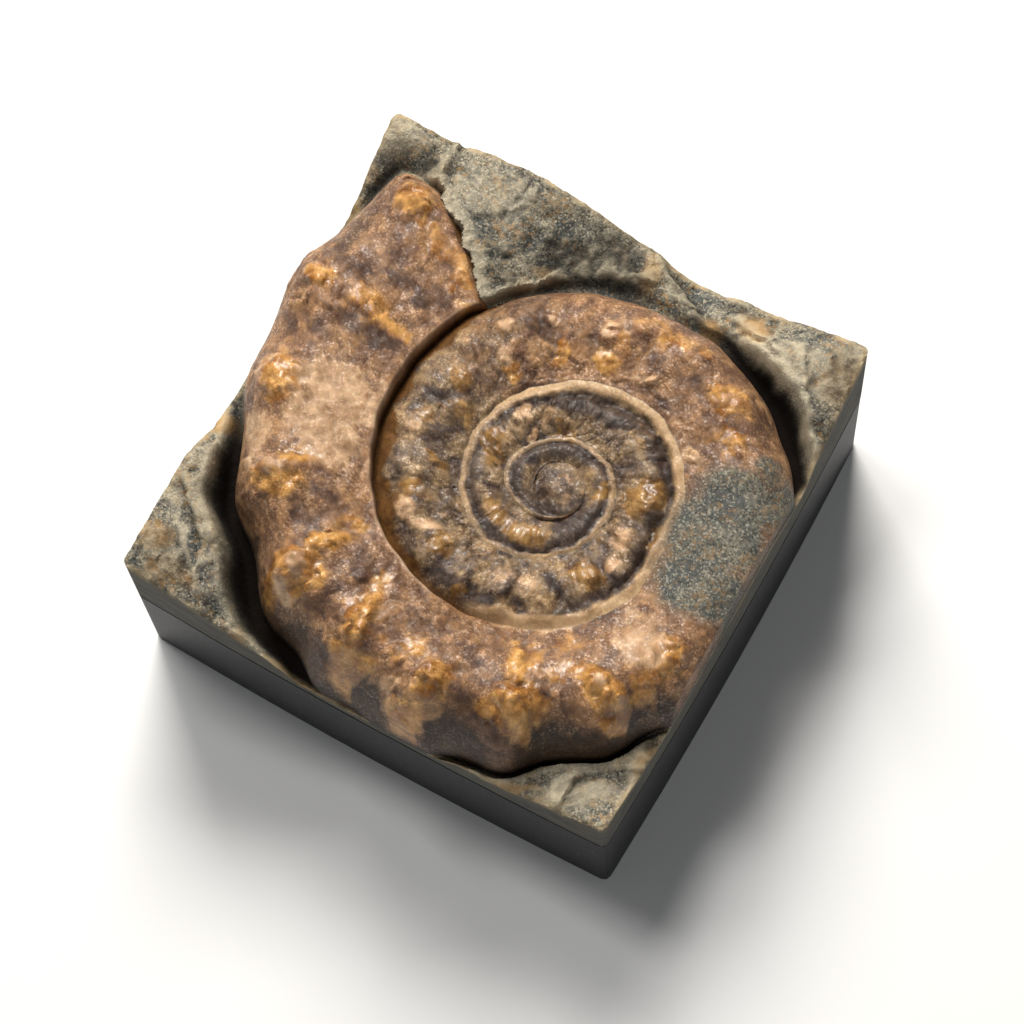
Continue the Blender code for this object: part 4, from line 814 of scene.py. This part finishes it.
def make_hub():
    """Model the middle of the coil: a low knob beside a pit, with painted shade where it lies low.
    """
    piece = flat_grid("hub", HUB_COLUMNS, HUB_ROWS)
    flat = read_points(piece)
    turn = np.pi * (flat[:, 0] + 1)
    place = (flat[:, 1] + 1) / 2
    edge = along(np.degrees(turn), HUB_RADII)
    radius = (edge + 0.04) * np.clip(place / 0.9, 0.0, 1.0)
    x = COIL_CENTRE[0] + radius * np.cos(turn)
    y = COIL_CENTRE[1] + radius * np.sin(turn)
    height = HUB_HEIGHT - 0.04 * smooth_step((edge - radius) / 0.35)
    off_knob = (x - HUB_KNOB[0]) ** 2 + (y - HUB_KNOB[1]) ** 2
    height += 0.22 * np.sqrt(np.clip(1 - off_knob / 0.8, 0, 1))
    c, s = HUB_VALLEY_TURN
    valley = ((x - HUB_VALLEY[0]) * c + (y - HUB_VALLEY[1]) * s) / 0.22
    ends = ((x - HUB_VALLEY[0]) * s - (y - HUB_VALLEY[1]) * c) / 0.8
    height -= 0.1 * np.exp(-valley ** 2 - ends ** 2)
    off_pit = (x - HUB_PIT[0]) ** 2 + (y - HUB_PIT[1]) ** 2
    height -= 0.16 * np.exp(-off_pit / 0.05)
    height += 0.035 * roughness(x, y, 0.35, 91, 3)
    height = np.where(place > 0.92, INNER_TURN_FOOT, height)
    # Painted shade where the hub lies low, most in its pit
    add_mask(piece, "hollow_shade", np.clip((8.70 - height) / 0.3, 0.0, 1.0))
    add_mask(piece, "proud_highlight", np.zeros_like(x))
    move_points(piece, np.column_stack([x, y, height]))
    select_only(piece)
    bpy.ops.object.mode_set(mode="EDIT")
    bpy.ops.mesh.select_all(action="SELECT")
    bpy.ops.mesh.remove_doubles(threshold=0.000002)
    bpy.ops.mesh.fill_holes(sides=0)
    face_outwards()
    return piece


def join_pieces(name, pieces):
    """Join objects into one of the given name."""
    bpy.ops.object.select_all(action="DESELECT")
    for piece in pieces:
        piece.select_set(True)
    bpy.context.view_layer.objects.active = pieces[0]
    bpy.ops.object.join()
    piece = pieces[0]
    piece.name = name
    piece.data.name = name
    return piece


def paint_shell(piece):
    """Store where each colour of the shell lies, and where shade and highlights are painted."""
    x, y, z = read_points(piece).T / MM
    angle, outside = coil_place(x, y)
    inward = coil_radius(angle) + outside - inner_radius(angle)
    from_edge = -outside
    joint, _, tone = shell_crystals(x, y, angle)
    speck = grains(x, y, SPECK, 231)[2]
    wall = (angle < 400) & (from_edge < inward)
    raised = smooth_step((z - along(angle, EDGE_HEIGHTS) - 0.1) / 1.0)
    raised = np.where(wall, 0.2 + 0.8 * raised, 1.0)
    # Creamy patches, some of them painted highlights, and amber, both faded low on the outer wall
    cream_and_highlight = patches(x, y, CREAM_AND_HIGHLIGHTS, 0.13, 101, 0.6 * tone + 0.5 * speck)
    amber = patches(x, y, AMBER, 0.17, 111, tone + 0.4 * speck)
    add_mask(piece, "cream_and_highlight", raised * cream_and_highlight)
    add_mask(piece, "amber", raised * amber)
    plum = patches(x, y, PLUM, 0.20, 121, -tone + 0.4 * speck)
    add_mask(piece, "plum", plum)
    flank = along(angle, FLANK_WIDTHS) * (1 - 0.75 * np.clip(rib_wave(angle) / 0.4, 0.0, 1.0))
    flank = smooth_step((flank - from_edge + 0.15 * roughness(x, y, 0.5, 191, 3)) / 0.3)
    add_mask(piece, "slate", np.maximum(patches(x, y, SLATE, 0.15, 131), flank))
    add_mask(piece, "matrix", patches(x, y, ROCK_ON_SHELL, 0.12, 141))
    past = angle - SECOND_TURN + 12 * roughness(x, y, 0.9, 195, 3)
    add_mask(piece, "inner", smooth_step(past / 40))
    share = np.maximum(smooth_step((angle - 430) / 50), 0.55)
    add_mask(piece, "bright", np.clip(tone * 1.4 - 0.5, 0.0, 1.0) * share)
    add_mask(piece, "dull", np.clip(-tone * 1.4 - 0.5, 0.0, 1.0) * share)
    add_mask(piece, "joint", smooth_step(1.0 - joint / 0.22) * share)
    width = along(angle, RIM_WIDTHS)
    uneven = from_edge / width + 0.25 * roughness(x, y, 0.4, 197, 3)
    pale = smooth_step((angle - 620) / 20) * (1 - 0.45 * smooth_step((angle - 840) / 60))
    pale = pale * (1 - 0.8 * smooth_step((angle - 1220) / 120))
    add_mask(piece, "pale", pale * smooth_step((2.1 - uneven) / 0.8))
    seam = np.where(from_edge < inward, angle, angle + 360.0)
    edge = along(seam, EDGE_HEIGHTS)
    lip = smooth_step((0.17 - inward) / 0.08) * smooth_step((z - edge - 0.6) / 0.15)
    lip = lip * (angle < LIP_END)
    add_mask(piece, "lip", lip)
    add_mask(piece, "gloss", 0.4 * lip)
    # Painted shade up the shell's edge from the groove and the seams, darker the lower it lies;
    # with the brown band along the seam of the second whorl
    reach = np.where(angle < LIP_END, 0.8, 0.3)
    reach = np.where(seam < SECOND_TURN, along(seam, SHADE_REACHES), reach)
    groove_shade_and_seam_brown = smooth_step((edge + reach - z) / reach)
    brown = along(angle, BROWN_WIDTHS) - from_edge + 0.15 * tone
    brown = smooth_step((brown + 0.22 * roughness(x, y, 0.7, 241, 3)) / 0.15)
    groove_shade_and_seam_brown = np.maximum(groove_shade_and_seam_brown, brown * (angle > 490) * smooth_step((640 - angle) / 40))
    add_mask(piece, "seam", (seam > SECOND_TURN).astype(float))
    add_mask(piece, "groove_shade_and_seam_brown", groove_shade_and_seam_brown * smooth_step((650.0 - seam) / 30.0))
    # Painted shade: a dark band in the valley just inside the pale rim of each inner turn
    band = (from_edge - 1.5 * width) / 0.45 + 0.5 * roughness(x, y, 0.6, 221, 3)
    shade = smooth_step(1.6 - band) * smooth_step((from_edge / width - 1.4) / 0.5)
    shade = shade * smooth_step((angle - 630) / 60)
    add_mask(piece, "shade", shade)
    add_mask(piece, "dim", np.clip(np.maximum(plum, shade), 0.0, 1.0))


def make_rock():
    """Model the rock: broken top, sawn bowed sides, flat underside."""
    piece = flat_grid("rock_matrix", ROCK_COLUMNS, ROCK_COLUMNS)
    select_only(piece)
    bpy.ops.object.mode_set(mode="EDIT")
    bpy.ops.mesh.select_mode(type="EDGE")
    bpy.ops.mesh.select_all(action="SELECT")
    bpy.ops.mesh.region_to_loop()
    for _ in range(SIDE_ROWS):
        bpy.ops.mesh.extrude_region_move(TRANSFORM_OT_translate={"value": (0.0, 0.0, -1.0)})
    bpy.ops.mesh.edge_face_add()
    face_outwards()
    u, v, level = read_points(piece).T
    half = SIDE / 2 - ROCK_INSET
    x = u * (half + side_bulge(v))
    y = v * (half + side_bulge(u))
    a = np.clip((np.abs(x) - STRAIGHT) / CORNER_RADIUS, 0.0, 1.0)
    b = np.clip((np.abs(y) - STRAIGHT) / CORNER_RADIUS, 0.0, 1.0)
    round_x = STRAIGHT + CORNER_RADIUS * a * np.sqrt(1 - b * b / 2)
    round_y = STRAIGHT + CORNER_RADIUS * b * np.sqrt(1 - a * a / 2)
    in_corner = (a > 0) & (b > 0)
    x = np.where(in_corner, np.sign(x) * round_x, x)
    y = np.where(in_corner, np.sign(y) * round_y, y)
    top = rock_height(x, y)
    reach = np.maximum(np.abs(u), np.abs(v))
    worn = smooth_step((reach - 0.985) / 0.015)
    top = top - worn * (0.05 + 0.05 * roughness(x, y, 0.35, 151, 3))
    size = ROCK_COLUMNS + 1
    mark_relief(piece, top[:size * size].reshape(size, size), ROCK_RELIEF)
    on_top = level > -0.5
    add_mask(piece, "side", smooth_step((reach - 0.993) / 0.004) * np.where(on_top, 0.0, 1.0))
    chips = 0.5 + 0.5 * roughness(x, y, 0.5, 155, 3)
    add_mask(piece, "rim", smooth_step((reach - 0.975) / 0.02) * np.where(on_top, chips, 0.0))
    share = -level / SIDE_ROWS
    z = top + (GLUE_TOP - top) * np.clip(share, 0.0, 1.0)
    move_points(piece, np.column_stack([x, y, z]))
    return piece


def paint_rock(piece):
    """Store where each colour of the rock lies, and where shade is painted in the groove beside the
    shell.
    """
    x, y, z = read_points(piece).T / MM
    angle, outside = coil_place(x, y)
    add_mask(piece, "pale", patches(x, y, PALE_ROCK, 0.15, 161))
    add_mask(piece, "ochre", patches(x, y, OCHRE, 0.13, 171))
    add_mask(piece, "dark", patches(x, y, DARK_ROCK, 0.18, 181))
    # Painted shade in the groove beside the shell: darker close to the shell and low down
    floor = along(angle, EDGE_HEIGHTS)
    near_left = angle < 262
    groove = np.where(near_left, 1.15, 0.75) + 0.2 * roughness(x, y, 0.8, 185, 3)
    groove = along(angle, GROOVE_WIDTHS) * groove
    soft = np.where(near_left, 0.6, 0.35)
    groove_shade_and_seam_brown = smooth_step((groove - outside) / (soft * groove)) * along(angle, GROOVE_SHADE)
    sunk = smooth_step((floor + 0.5 - z) / 0.5) * (outside < 0.5)
    groove_shade_and_seam_brown = np.maximum(groove_shade_and_seam_brown, sunk * along(angle, GROOVE_SHADE))
    add_mask(piece, "groove_shade_and_seam_brown", groove_shade_and_seam_brown * smooth_step(inside_block(x, y) / 0.1))


class Value:
    """A socket in a material; Python's operators on it add Math nodes."""

    def __init__(self, finish, socket):
        self.finish = finish
        self.socket = socket

    def other(self, output):
        """Return another output of the same node."""
        return Value(self.finish, self.socket.node.outputs[output])

    def maths(self, operation, a, b):
        """Add a Math node."""
        return self.finish.node("Math", {"operation": operation}, {0: a, 1: b})

    def __add__(self, other):
        return self.maths("ADD", self, other)

    def __radd__(self, other):
        return self.maths("ADD", other, self)

    def __sub__(self, other):
        return self.maths("SUBTRACT", self, other)

    def __rsub__(self, other):
        return self.maths("SUBTRACT", other, self)

    def __mul__(self, other):
        return self.maths("MULTIPLY", self, other)

    def __rmul__(self, other):
        return self.maths("MULTIPLY", other, self)


class Finish:
    """One material: its Principled shader and the nodes that feed it."""

    def __init__(self, name, constants):
        self.material = bpy.data.materials.new(name)
        self.material.use_nodes = True
        self.tree = self.material.node_tree
        self.shader = self.tree.nodes["Principled BSDF"]
        for socket, value in constants.items():
            self.shader.inputs[socket].default_value = value
        place = self.node("TexCoord", out="Object")
        self.place = self.vector("SCALE", {0: place, 3: 1.0 / MM})

    def node(self, kind, settings=None, sockets=None, out=0):
        """Add a node, set it up, fill its sockets with values or links and return an output."""
        made = self.tree.nodes.new("ShaderNode" + kind)
        for name, value in (settings or {}).items():
            setattr(made, name, value)
        for socket, value in (sockets or {}).items():
            self.feed(made.inputs[socket], value)
        return Value(self, made.outputs[out])

    def feed(self, socket, value):
        """Link a socket to a value, or set it to a number, colour or vector."""
        if isinstance(value, Value):
            self.tree.links.new(value.socket, socket)
        else:
            socket.default_value = value

    def output(self, socket, value):
        """Feed a socket of the shader."""
        self.feed(self.shader.inputs[socket], value)

    def mask(self, name):
        """Read one of the numbers stored on the mesh's points."""
        return self.node("Attribute", {"attribute_name": name}, out="Fac")

    def capped(self, name):
        """Read one of those numbers and keep it between 0 and 1."""
        return self.node("Clamp", {}, {0: self.mask(name)})

    def noise(self, size, detail=3.0, roughness=0.55, place=None):
        """Return soft noise from 0 to 1 whose lumps have a size in millimetres."""
        sockets = {"Vector": place or self.place, "Scale": 1.0 / size, "Detail": detail,
                   "Roughness": roughness}
        return self.node("TexNoise", {}, sockets)

    def cells(self, size, output="Distance"):
        """Return a cell pattern whose cells have a size in millimetres."""
        return self.node("TexVoronoi", {}, {"Vector": self.place, "Scale": 1.0 / size}, output)

    def chances(self, size):
        """Return a number from 0 to 1 that is each cell's own."""
        return self.node("SeparateColor", {}, {0: self.cells(size, "Color")})

    def vector(self, operation, sockets, out=0):
        """Add a Vector Math node."""
        return self.node("VectorMath", {"operation": operation}, sockets, out)

    def tilted(self, size):
        """Return the height of tiny crystals whose faces lean each their own way."""
        lean = self.cells(size, "Color")
        away = self.vector("SUBTRACT", {0: self.place, 1: lean.other("Position")})
        lean = self.vector("SUBTRACT", {0: lean, 1: (0.5, 0.5, 0.5)})
        return self.vector("DOT_PRODUCT", {0: away, 1: lean}, "Value")

    def stretch(self, x, y, z):
        """Return the place on the piece, stretched along its axes."""
        return self.vector("MULTIPLY", {0: self.place, 1: (x, y, z)})

    def ramp(self, value, low, high):
        """Return 0 below one value, 1 above another and a smooth rise between."""
        sockets = {"Value": value, "From Min": low, "From Max": high}
        return self.node("MapRange", {"interpolation_type": "SMOOTHSTEP"}, sockets)

    def mix(self, factor, a, b, blend="MIX"):
        """Mix two colours."""
        settings = {"data_type": "RGBA", "blend_type": blend, "clamp_factor": True}
        return self.node("Mix", settings, {0: factor, 6: a, 7: b}, out=2)

    def blend(self, factor, low, high):
        """Mix two colours that are given as screen values of 0 to 255."""
        return self.mix(factor, colour(*low), colour(*high))

    def lay(self, tone, *layers):
        """Lay colours over each other; a layer is a mask's name, its share and a colour."""
        for name, share, over in layers:
            over = colour(*over) if isinstance(over, tuple) else over
            tone = self.mix(self.mask(name) * share, tone, over)
        return tone

    def bump(self, height, depth, normal=None):
        """Return a normal for relief of a depth in millimetres."""
        sockets = {"Strength": 1.0, "Distance": depth * MM, "Height": height}
        if normal is not None:
            sockets["Normal"] = normal
        return self.node("Bump", {}, sockets)


def colour(red, green, blue):
    """Return a linear colour from screen values of 0 to 255."""
    linear = []
    for value in (red, green, blue):
        share = value / 255
        linear.append(share / 12.92 if share <= 0.04045 else ((share + 0.055) / 1.055) ** 2.4)
    return (*linear, 1.0)


def rock_colour(finish):
    """Return the colour of broken grey rock, with dark, ochre and pale grains."""
    soft = finish.ramp(finish.noise(1.4, 5, 0.6), 0.38, 0.62)
    tone = finish.blend(soft, (90, 92, 88), (130, 123, 106))
    grain = finish.chances(0.06)
    tone = finish.mix(finish.ramp(grain, 0.62, 0.95) * 0.5, tone, colour(206, 192, 162))
    tone = finish.mix(finish.ramp(grain, 0.38, 0.08) * 0.72, tone, colour(48, 47, 46))
    pits = finish.ramp(finish.noise(0.11, 3, 0.6), 0.57, 0.68)
    tone = finish.mix(pits * 0.75, tone, colour(42, 40, 38))
    fleck = finish.ramp(finish.chances(0.13), 0.55, 0.75)
    rust = fleck * finish.ramp(finish.noise(0.9, 4, 0.6), 0.44, 0.62)
    return finish.mix(rust * 0.55, tone, colour(158, 118, 66))


def shell_finish(settings):
    """Make the calcite of the shell: sugary grain over creamy, amber, plum and grey patches, with
    painted shade and painted highlights.
    """
    finish = Finish("sugary_calcite", {
        "Subsurface Weight": 0.28, "Subsurface Radius": (1.0, 0.5, 0.25),
        "Subsurface Scale": 0.25 * MM, "IOR": 1.5, "Specular IOR Level": 0.38,
        "Coat Roughness": 0.15})
    soft = finish.ramp(finish.noise(1.1, 3), 0.35, 0.65)
    patchy = finish.ramp(finish.noise(0.6, 4, 0.5), 0.32, 0.68)
    inner, amber_mask, cream_and_highlight_mask = map(finish.mask, ("inner", "amber", "cream_and_highlight"))

    # Patches, each in two tones
    outer_tone = finish.blend(patchy, (100, 68, 44), (150, 110, 72))
    inner_tone = finish.blend(patchy, (66, 52, 42), (144, 116, 80))
    outer_plum = finish.blend(patchy, (62, 40, 26), (98, 68, 44))
    inner_plum = finish.blend(patchy, (44, 35, 30), (78, 64, 53))
    outer_amber = finish.blend(patchy, (132, 82, 26), (188, 138, 74))
    inner_amber = finish.blend(patchy, (100, 68, 28), (150, 112, 62))
    tone = finish.lay(
        finish.mix(inner, outer_tone, inner_tone),
        ("bright", 0.4, (160, 124, 80)),
        ("dull", 0.5, (74, 56, 46)),
        ("plum", 0.95, finish.mix(inner, outer_plum, inner_plum)),
        ("shade", 0.92, finish.blend(patchy, (42, 33, 27), (74, 59, 47))),
        ("slate", 0.9, finish.blend(soft, (30, 19, 10), (64, 46, 29))))
    tone = finish.mix(amber_mask, tone, finish.mix(inner, outer_amber, inner_amber))
    # Creamy colour, also used for the painted highlights on some amber knobs and ribs
    cream_and_highlight = finish.blend(patchy, (152, 116, 80), (190, 154, 116))
    tone = finish.mix(cream_and_highlight_mask, tone, cream_and_highlight)

    # Relief: painted shade in hollows, dark joints, painted highlight on raised parts, pale rim
    tone = finish.lay(tone, ("hollow_shade", 0.35, (46, 30, 22)))
    joint = finish.mask("joint") * (0.3 - 0.2 * cream_and_highlight_mask)
    tone = finish.mix(joint, tone, colour(52, 34, 24))
    tone = finish.mix(finish.mask("proud_highlight") * 0.6, tone, (1.3, 1.35, 1.45, 1.0), "MULTIPLY")
    rim = finish.blend(finish.noise(0.3, 4), (142, 110, 76), (200, 166, 122))
    tone = finish.mix(finish.mask("pale"), tone, rim)

    # Sugary grain: facets and fine grains, weaker where the surface is smooth or glassy
    smooth = finish.capped("gloss")
    rough = (1 - 0.8 * smooth) * (1 - 0.3 * amber_mask) * (1 - 0.5 * cream_and_highlight_mask)
    rough = rough * (1 - 0.5 * finish.mask("pale"))
    facet = finish.chances(0.24)
    light = finish.ramp(facet, 0.55, 1.0) * rough * 0.5
    tone = finish.mix(light, tone, (1.35, 1.42, 1.55, 1.0), "MULTIPLY")
    tone = finish.mix(finish.ramp(facet, 0.45, 0.0) * rough * 0.3, tone, colour(60, 40, 32))
    grain = finish.chances(settings.grain_size)
    zone = rough * finish.ramp(finish.noise(0.7, 3), 0.25, 0.65)
    glint = finish.ramp(grain, 0.7, 0.95)
    light = finish.ramp(grain, 0.6, 0.95) * zone
    tone = finish.mix(light, tone, (1.45, 1.57, 1.78, 1.0), "MULTIPLY")
    light = light * (0.13 - 0.11 * finish.mask("dim"))
    tone = finish.mix(light, tone, colour(230, 204, 180))
    tone = finish.mix(finish.ramp(grain, 0.4, 0.05) * zone * 0.3, tone, colour(58, 38, 30))

    # Lip beside the seam, rock that covers the shell, and painted shade in grooves and seams: near
    # black at the outer edge, brown in the seams between turns, where a brown band also lines the
    # second whorl
    tone = finish.lay(tone, ("lip", 0.5, finish.blend(soft, (146, 120, 98), (200, 172, 144))))
    stone = finish.mix(0.45, rock_colour(finish), colour(50, 52, 46))
    tone = finish.mix(finish.mask("matrix"), tone, stone)
    brown = finish.blend(finish.noise(0.35, 4), (52, 33, 16), (124, 82, 34))
    shade_and_brown_tone = finish.mix(finish.mask("seam"), colour(22, 13, 8), brown)
    finish.output("Base Color", finish.mix(finish.mask("groove_shade_and_seam_brown"), tone, shade_and_brown_tone))
    dull = finish.capped("matrix")
    shine = 0.62 - 0.18 * smooth - 0.2 * amber_mask - 0.25 * glint
    finish.output("Roughness", shine + 0.2 * dull)
    finish.output("Coat Weight", (0.03 + 0.06 * smooth + 0.16 * amber_mask) * (1 - dull))
    relief = finish.bump(finish.tilted(0.24) * rough, 0.18)
    finish.output("Normal", finish.bump(finish.tilted(0.07) * rough, 0.22, relief))
    return finish.material


def rock_finish():
    """Make the rock: grainy grey-green stone above, sawn and finely scored at the sides, with
    painted shade in its hollows and groove and a painted highlight on raised parts.
    """
    finish = Finish("broken_grey_rock", {"Specular IOR Level": 0.12})
    pale = finish.blend(finish.noise(0.16, 4, 0.7), (128, 116, 98), (222, 208, 178))
    ochre = finish.blend(finish.noise(0.22, 4, 0.6), (128, 88, 44), (206, 168, 112))
    tone = finish.lay(
        rock_colour(finish),
        ("pale", 0.8, pale),
        ("ochre", 0.85, ochre),
        ("dark", 0.85, (46, 43, 38)),
        # Painted shade in hollows and a painted highlight on raised parts of the relief
        ("hollow_shade", 0.5, (40, 38, 34)),
        ("proud_highlight", 0.4, (206, 192, 162)))
    groove_shade_and_seam_brown, side = finish.mask("groove_shade_and_seam_brown"), finish.mask("side")
    # Painted shade in the groove beside the shell, near black
    tone = finish.mix(groove_shade_and_seam_brown, tone, colour(17, 11, 7))
    scores = finish.noise(0.16, 4, 0.7, finish.stretch(0.12, 0.12, 3.0))
    sawn = finish.blend(finish.ramp(scores, 0.35, 0.68), (70, 70, 69), (118, 115, 106))
    warm = finish.ramp(finish.noise(1.8, 3), 0.4, 0.7) * 0.4
    tone = finish.mix(side, tone, finish.mix(warm, sawn, colour(104, 98, 84)))
    finish.output("Base Color", finish.lay(tone, ("rim", 0.7, (196, 172, 132))))
    finish.output("Roughness", 0.8 + 0.15 * groove_shade_and_seam_brown)
    relief = finish.bump(finish.noise(0.28, 5, 0.7), 0.1)
    finish.output("Normal", finish.bump(finish.noise(0.08, 3, 0.7) + scores * side, 0.035, relief))
    return finish.material


def base_finish():
    """Make the base: near-black, finely scored upright at its sides, with pale dust specks."""
    finish = Finish("dark_brushed_base", {"Specular IOR Level": 0.5})
    scores = finish.noise(0.1, 4, 0.75, finish.stretch(2.2, 2.2, 0.12))
    tone = finish.blend(finish.ramp(scores, 0.35, 0.7), (14, 15, 18), (32, 33, 37))
    dusty = finish.ramp(finish.noise(1.3, 3), 0.5, 0.62)
    specks = finish.ramp(finish.cells(0.5), 0.1, 0.05) * dusty
    finish.output("Base Color", finish.mix(specks * 0.7, tone, colour(150, 148, 140)))
    finish.output("Metallic", 0.25)
    finish.output("Roughness", 0.42 + 0.25 * scores)
    finish.output("Normal", finish.bump(scores, 0.03))
    return finish.material


def floor_finish(settings):
    """Make the plain pale floor."""
    finish = Finish("pale_floor", {"Roughness": 0.7})
    low = [0.97 * value for value in settings.floor_colour]
    tone = finish.mix(finish.noise(9.0, 4), (*low, 1.0), (*settings.floor_colour, 1.0))
    finish.output("Base Color", tone)
    return finish.material


def dress(piece, material):
    """Give a piece its only material."""
    piece.data.materials.clear()
    piece.data.materials.append(material)


def soften(piece):
    """Shade a piece smooth, but not over its sharp edges."""
    select_only(piece)
    bpy.ops.object.shade_smooth_by_angle(angle=SMOOTH_ANGLE)


def add_lamp(name, direction, distance, size, power, tint):
    """Add a soft square light that shines at the block from a direction."""
    data = bpy.data.lights.new(name, "AREA")
    data.shape = "SQUARE"
    data.size = size * MM
    data.energy = power
    data.color = tint
    lamp = bpy.data.objects.new(name, data)
    bpy.context.scene.collection.objects.link(lamp)
    toward = Vector(direction).normalized()
    lamp.location = Vector(LAMP_AIM) + toward * distance * MM
    lamp.rotation_euler = toward.to_track_quat("Z", "Y").to_euler()


class ShellSettings(bpy.types.PropertyGroup):
    """Sizes that shape the finish of the shell."""

    grain_size: bpy.props.FloatProperty(
        name="Grain Size", description="Size of the sugary grains, in millimetres",
        default=0.06, min=0.02, max=0.5)


class StageSettings(bpy.types.PropertyGroup):
    """Floor, light and camera."""

    floor_colour: bpy.props.FloatVectorProperty(
        name="Floor Colour", description="Colour of the pale floor", subtype="COLOR",
        default=(0.72, 0.71, 0.69), min=0.0, max=1.0)
    key_power: bpy.props.FloatProperty(
        name="Key Power", description="Power of the large soft light", default=1.05,
        unit="POWER")
    fill_power: bpy.props.FloatProperty(
        name="Fill Power", description="Power of the weak light from the front", default=0.15,
        unit="POWER")
    sky_strength: bpy.props.FloatProperty(
        name="Sky Strength", description="Strength of the even light all round", default=0.12)
    view_azimuth: bpy.props.FloatProperty(
        name="View Azimuth", description="Direction that the camera looks from, from -Y to +X",
        default=math.radians(36.27), subtype="ANGLE")
    view_elevation: bpy.props.FloatProperty(
        name="View Elevation", description="Height of the camera over the block",
        default=math.radians(72.35), subtype="ANGLE")
    view_roll: bpy.props.FloatProperty(
        name="View Roll", description="Turn of the camera about its line of sight",
        default=math.radians(-7.10), subtype="ANGLE")
    view_distance: bpy.props.FloatProperty(
        name="View Distance", description="From the camera to the point it looks at",
        default=0.12493, unit="LENGTH")
    view_target: bpy.props.FloatVectorProperty(
        name="View Target", description="Point that the camera looks at", subtype="XYZ",
        default=(0.00080, -0.00062, 0.0060), unit="LENGTH")
    lens: bpy.props.FloatProperty(
        name="Lens", description="Focal length, in millimetres, on a 36 mm wide sensor",
        default=131.57)


class FOSSIL_OT_shell(bpy.types.Operator):
    """Model the coiled shell and give it its finish"""

    bl_idname = "fossil.shell"
    bl_label = "Shell"

    def execute(self, context):
        pieces = [make_strip(index) for index in range(len(STRIPS))]
        piece = join_pieces("ammonite_shell", pieces + [make_hub()])
        paint_shell(piece)
        soften(piece)
        dress(piece, shell_finish(context.scene.fossil_shell))
        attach(piece, "root")
        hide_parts("ammonite_in_rock")
        return {"FINISHED"}


class FOSSIL_OT_rock(bpy.types.Operator):
    """Model the rock round the shell and give it its finish"""

    bl_idname = "fossil.rock"
    bl_label = "Rock"

    def execute(self, context):
        piece = make_rock()
        paint_rock(piece)
        soften(piece)
        dress(piece, rock_finish())
        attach(piece, "root")
        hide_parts("ammonite_in_rock")
        return {"FINISHED"}


class FOSSIL_OT_base(bpy.types.Operator):
    """Give the dark base its finish"""

    bl_idname = "fossil.base"
    bl_label = "Base"

    def execute(self, context):
        dress(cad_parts["base"], base_finish())
        return {"FINISHED"}


class FOSSIL_OT_stage(bpy.types.Operator):
    """Set up the pale floor, the soft lights and the camera"""

    bl_idname = "fossil.stage"
    bl_label = "Stage"

    def execute(self, context):
        settings = context.scene.fossil_stage
        floor = flat_grid("floor", 8, 8)
        move_points(floor, read_points(floor) * FLOOR_REACH)
        dress(floor, floor_finish(settings))
        powers = {"key": settings.key_power, "top": settings.key_power * TOP_POWER_SHARE,
                  "fill": settings.fill_power}
        for name, direction, distance, size, tint in LAMPS:
            add_lamp(name, direction, distance, size, powers[name], tint)
        world = bpy.data.worlds.new("studio")
        world.use_nodes = True
        sky = world.node_tree.nodes["Background"]
        sky.inputs["Color"].default_value = SKY_COLOUR
        sky.inputs["Strength"].default_value = settings.sky_strength
        context.scene.world = world
        context.scene.view_settings.view_transform = "Standard"
        self.add_camera(context, settings)
        return {"FINISHED"}

    def add_camera(self, context, settings):
        """Place the camera round its target and roll it."""
        data = bpy.data.cameras.new("camera")
        data.sensor_width = SENSOR_WIDTH
        data.lens = settings.lens
        data.clip_start = CLIP_START
        camera = bpy.data.objects.new("camera", data)
        context.scene.collection.objects.link(camera)
        flat = math.cos(settings.view_elevation)
        back = Vector((math.sin(settings.view_azimuth) * flat,
                       -math.cos(settings.view_azimuth) * flat, math.sin(settings.view_elevation)))
        level = (-back).cross(Vector((0.0, 0.0, 1.0))).normalized()
        upward = level.cross(-back)
        right = level * math.cos(settings.view_roll) + upward * math.sin(settings.view_roll)
        up = upward * math.cos(settings.view_roll) - level * math.sin(settings.view_roll)
        place = Vector(settings.view_target) + back * settings.view_distance
        axes = Matrix((right, up, back)).transposed().to_4x4()
        camera.matrix_world = Matrix.Translation(place) @ axes
        context.scene.camera = camera


class FOSSIL_PT_panel(bpy.types.Panel):
    """Lists the steps that make the fossil block"""

    bl_idname = "FOSSIL_PT_panel"
    bl_label = "Fossil Block"
    bl_space_type = "VIEW_3D"
    bl_region_type = "UI"
    bl_category = "Fossil"

    def draw(self, context):
        for step in STEPS:
            self.layout.operator(step.bl_idname)
        self.layout.prop(context.scene.fossil_shell, "grain_size")
        self.layout.prop(context.scene.fossil_stage, "key_power")
        self.layout.prop(context.scene.fossil_stage, "floor_colour")


STEPS = (FOSSIL_OT_shell, FOSSIL_OT_rock, FOSSIL_OT_base, FOSSIL_OT_stage)
CLASSES = (ShellSettings, StageSettings, *STEPS, FOSSIL_PT_panel)


def register():
    """Add the classes and their settings."""
    for item in CLASSES:
        bpy.utils.register_class(item)
    bpy.types.Scene.fossil_shell = bpy.props.PointerProperty(type=ShellSettings)
    bpy.types.Scene.fossil_stage = bpy.props.PointerProperty(type=StageSettings)


def unregister():
    """Take them away again."""
    del bpy.types.Scene.fossil_stage
    del bpy.types.Scene.fossil_shell
    for item in reversed(CLASSES):
        bpy.utils.unregister_class(item)


def main():
    """Build the block and its stage."""
    register()
    bpy.ops.fossil.shell()
    bpy.ops.fossil.rock()
    bpy.ops.fossil.base()
    bpy.ops.fossil.stage()


if __name__ == "__main__":
    main()
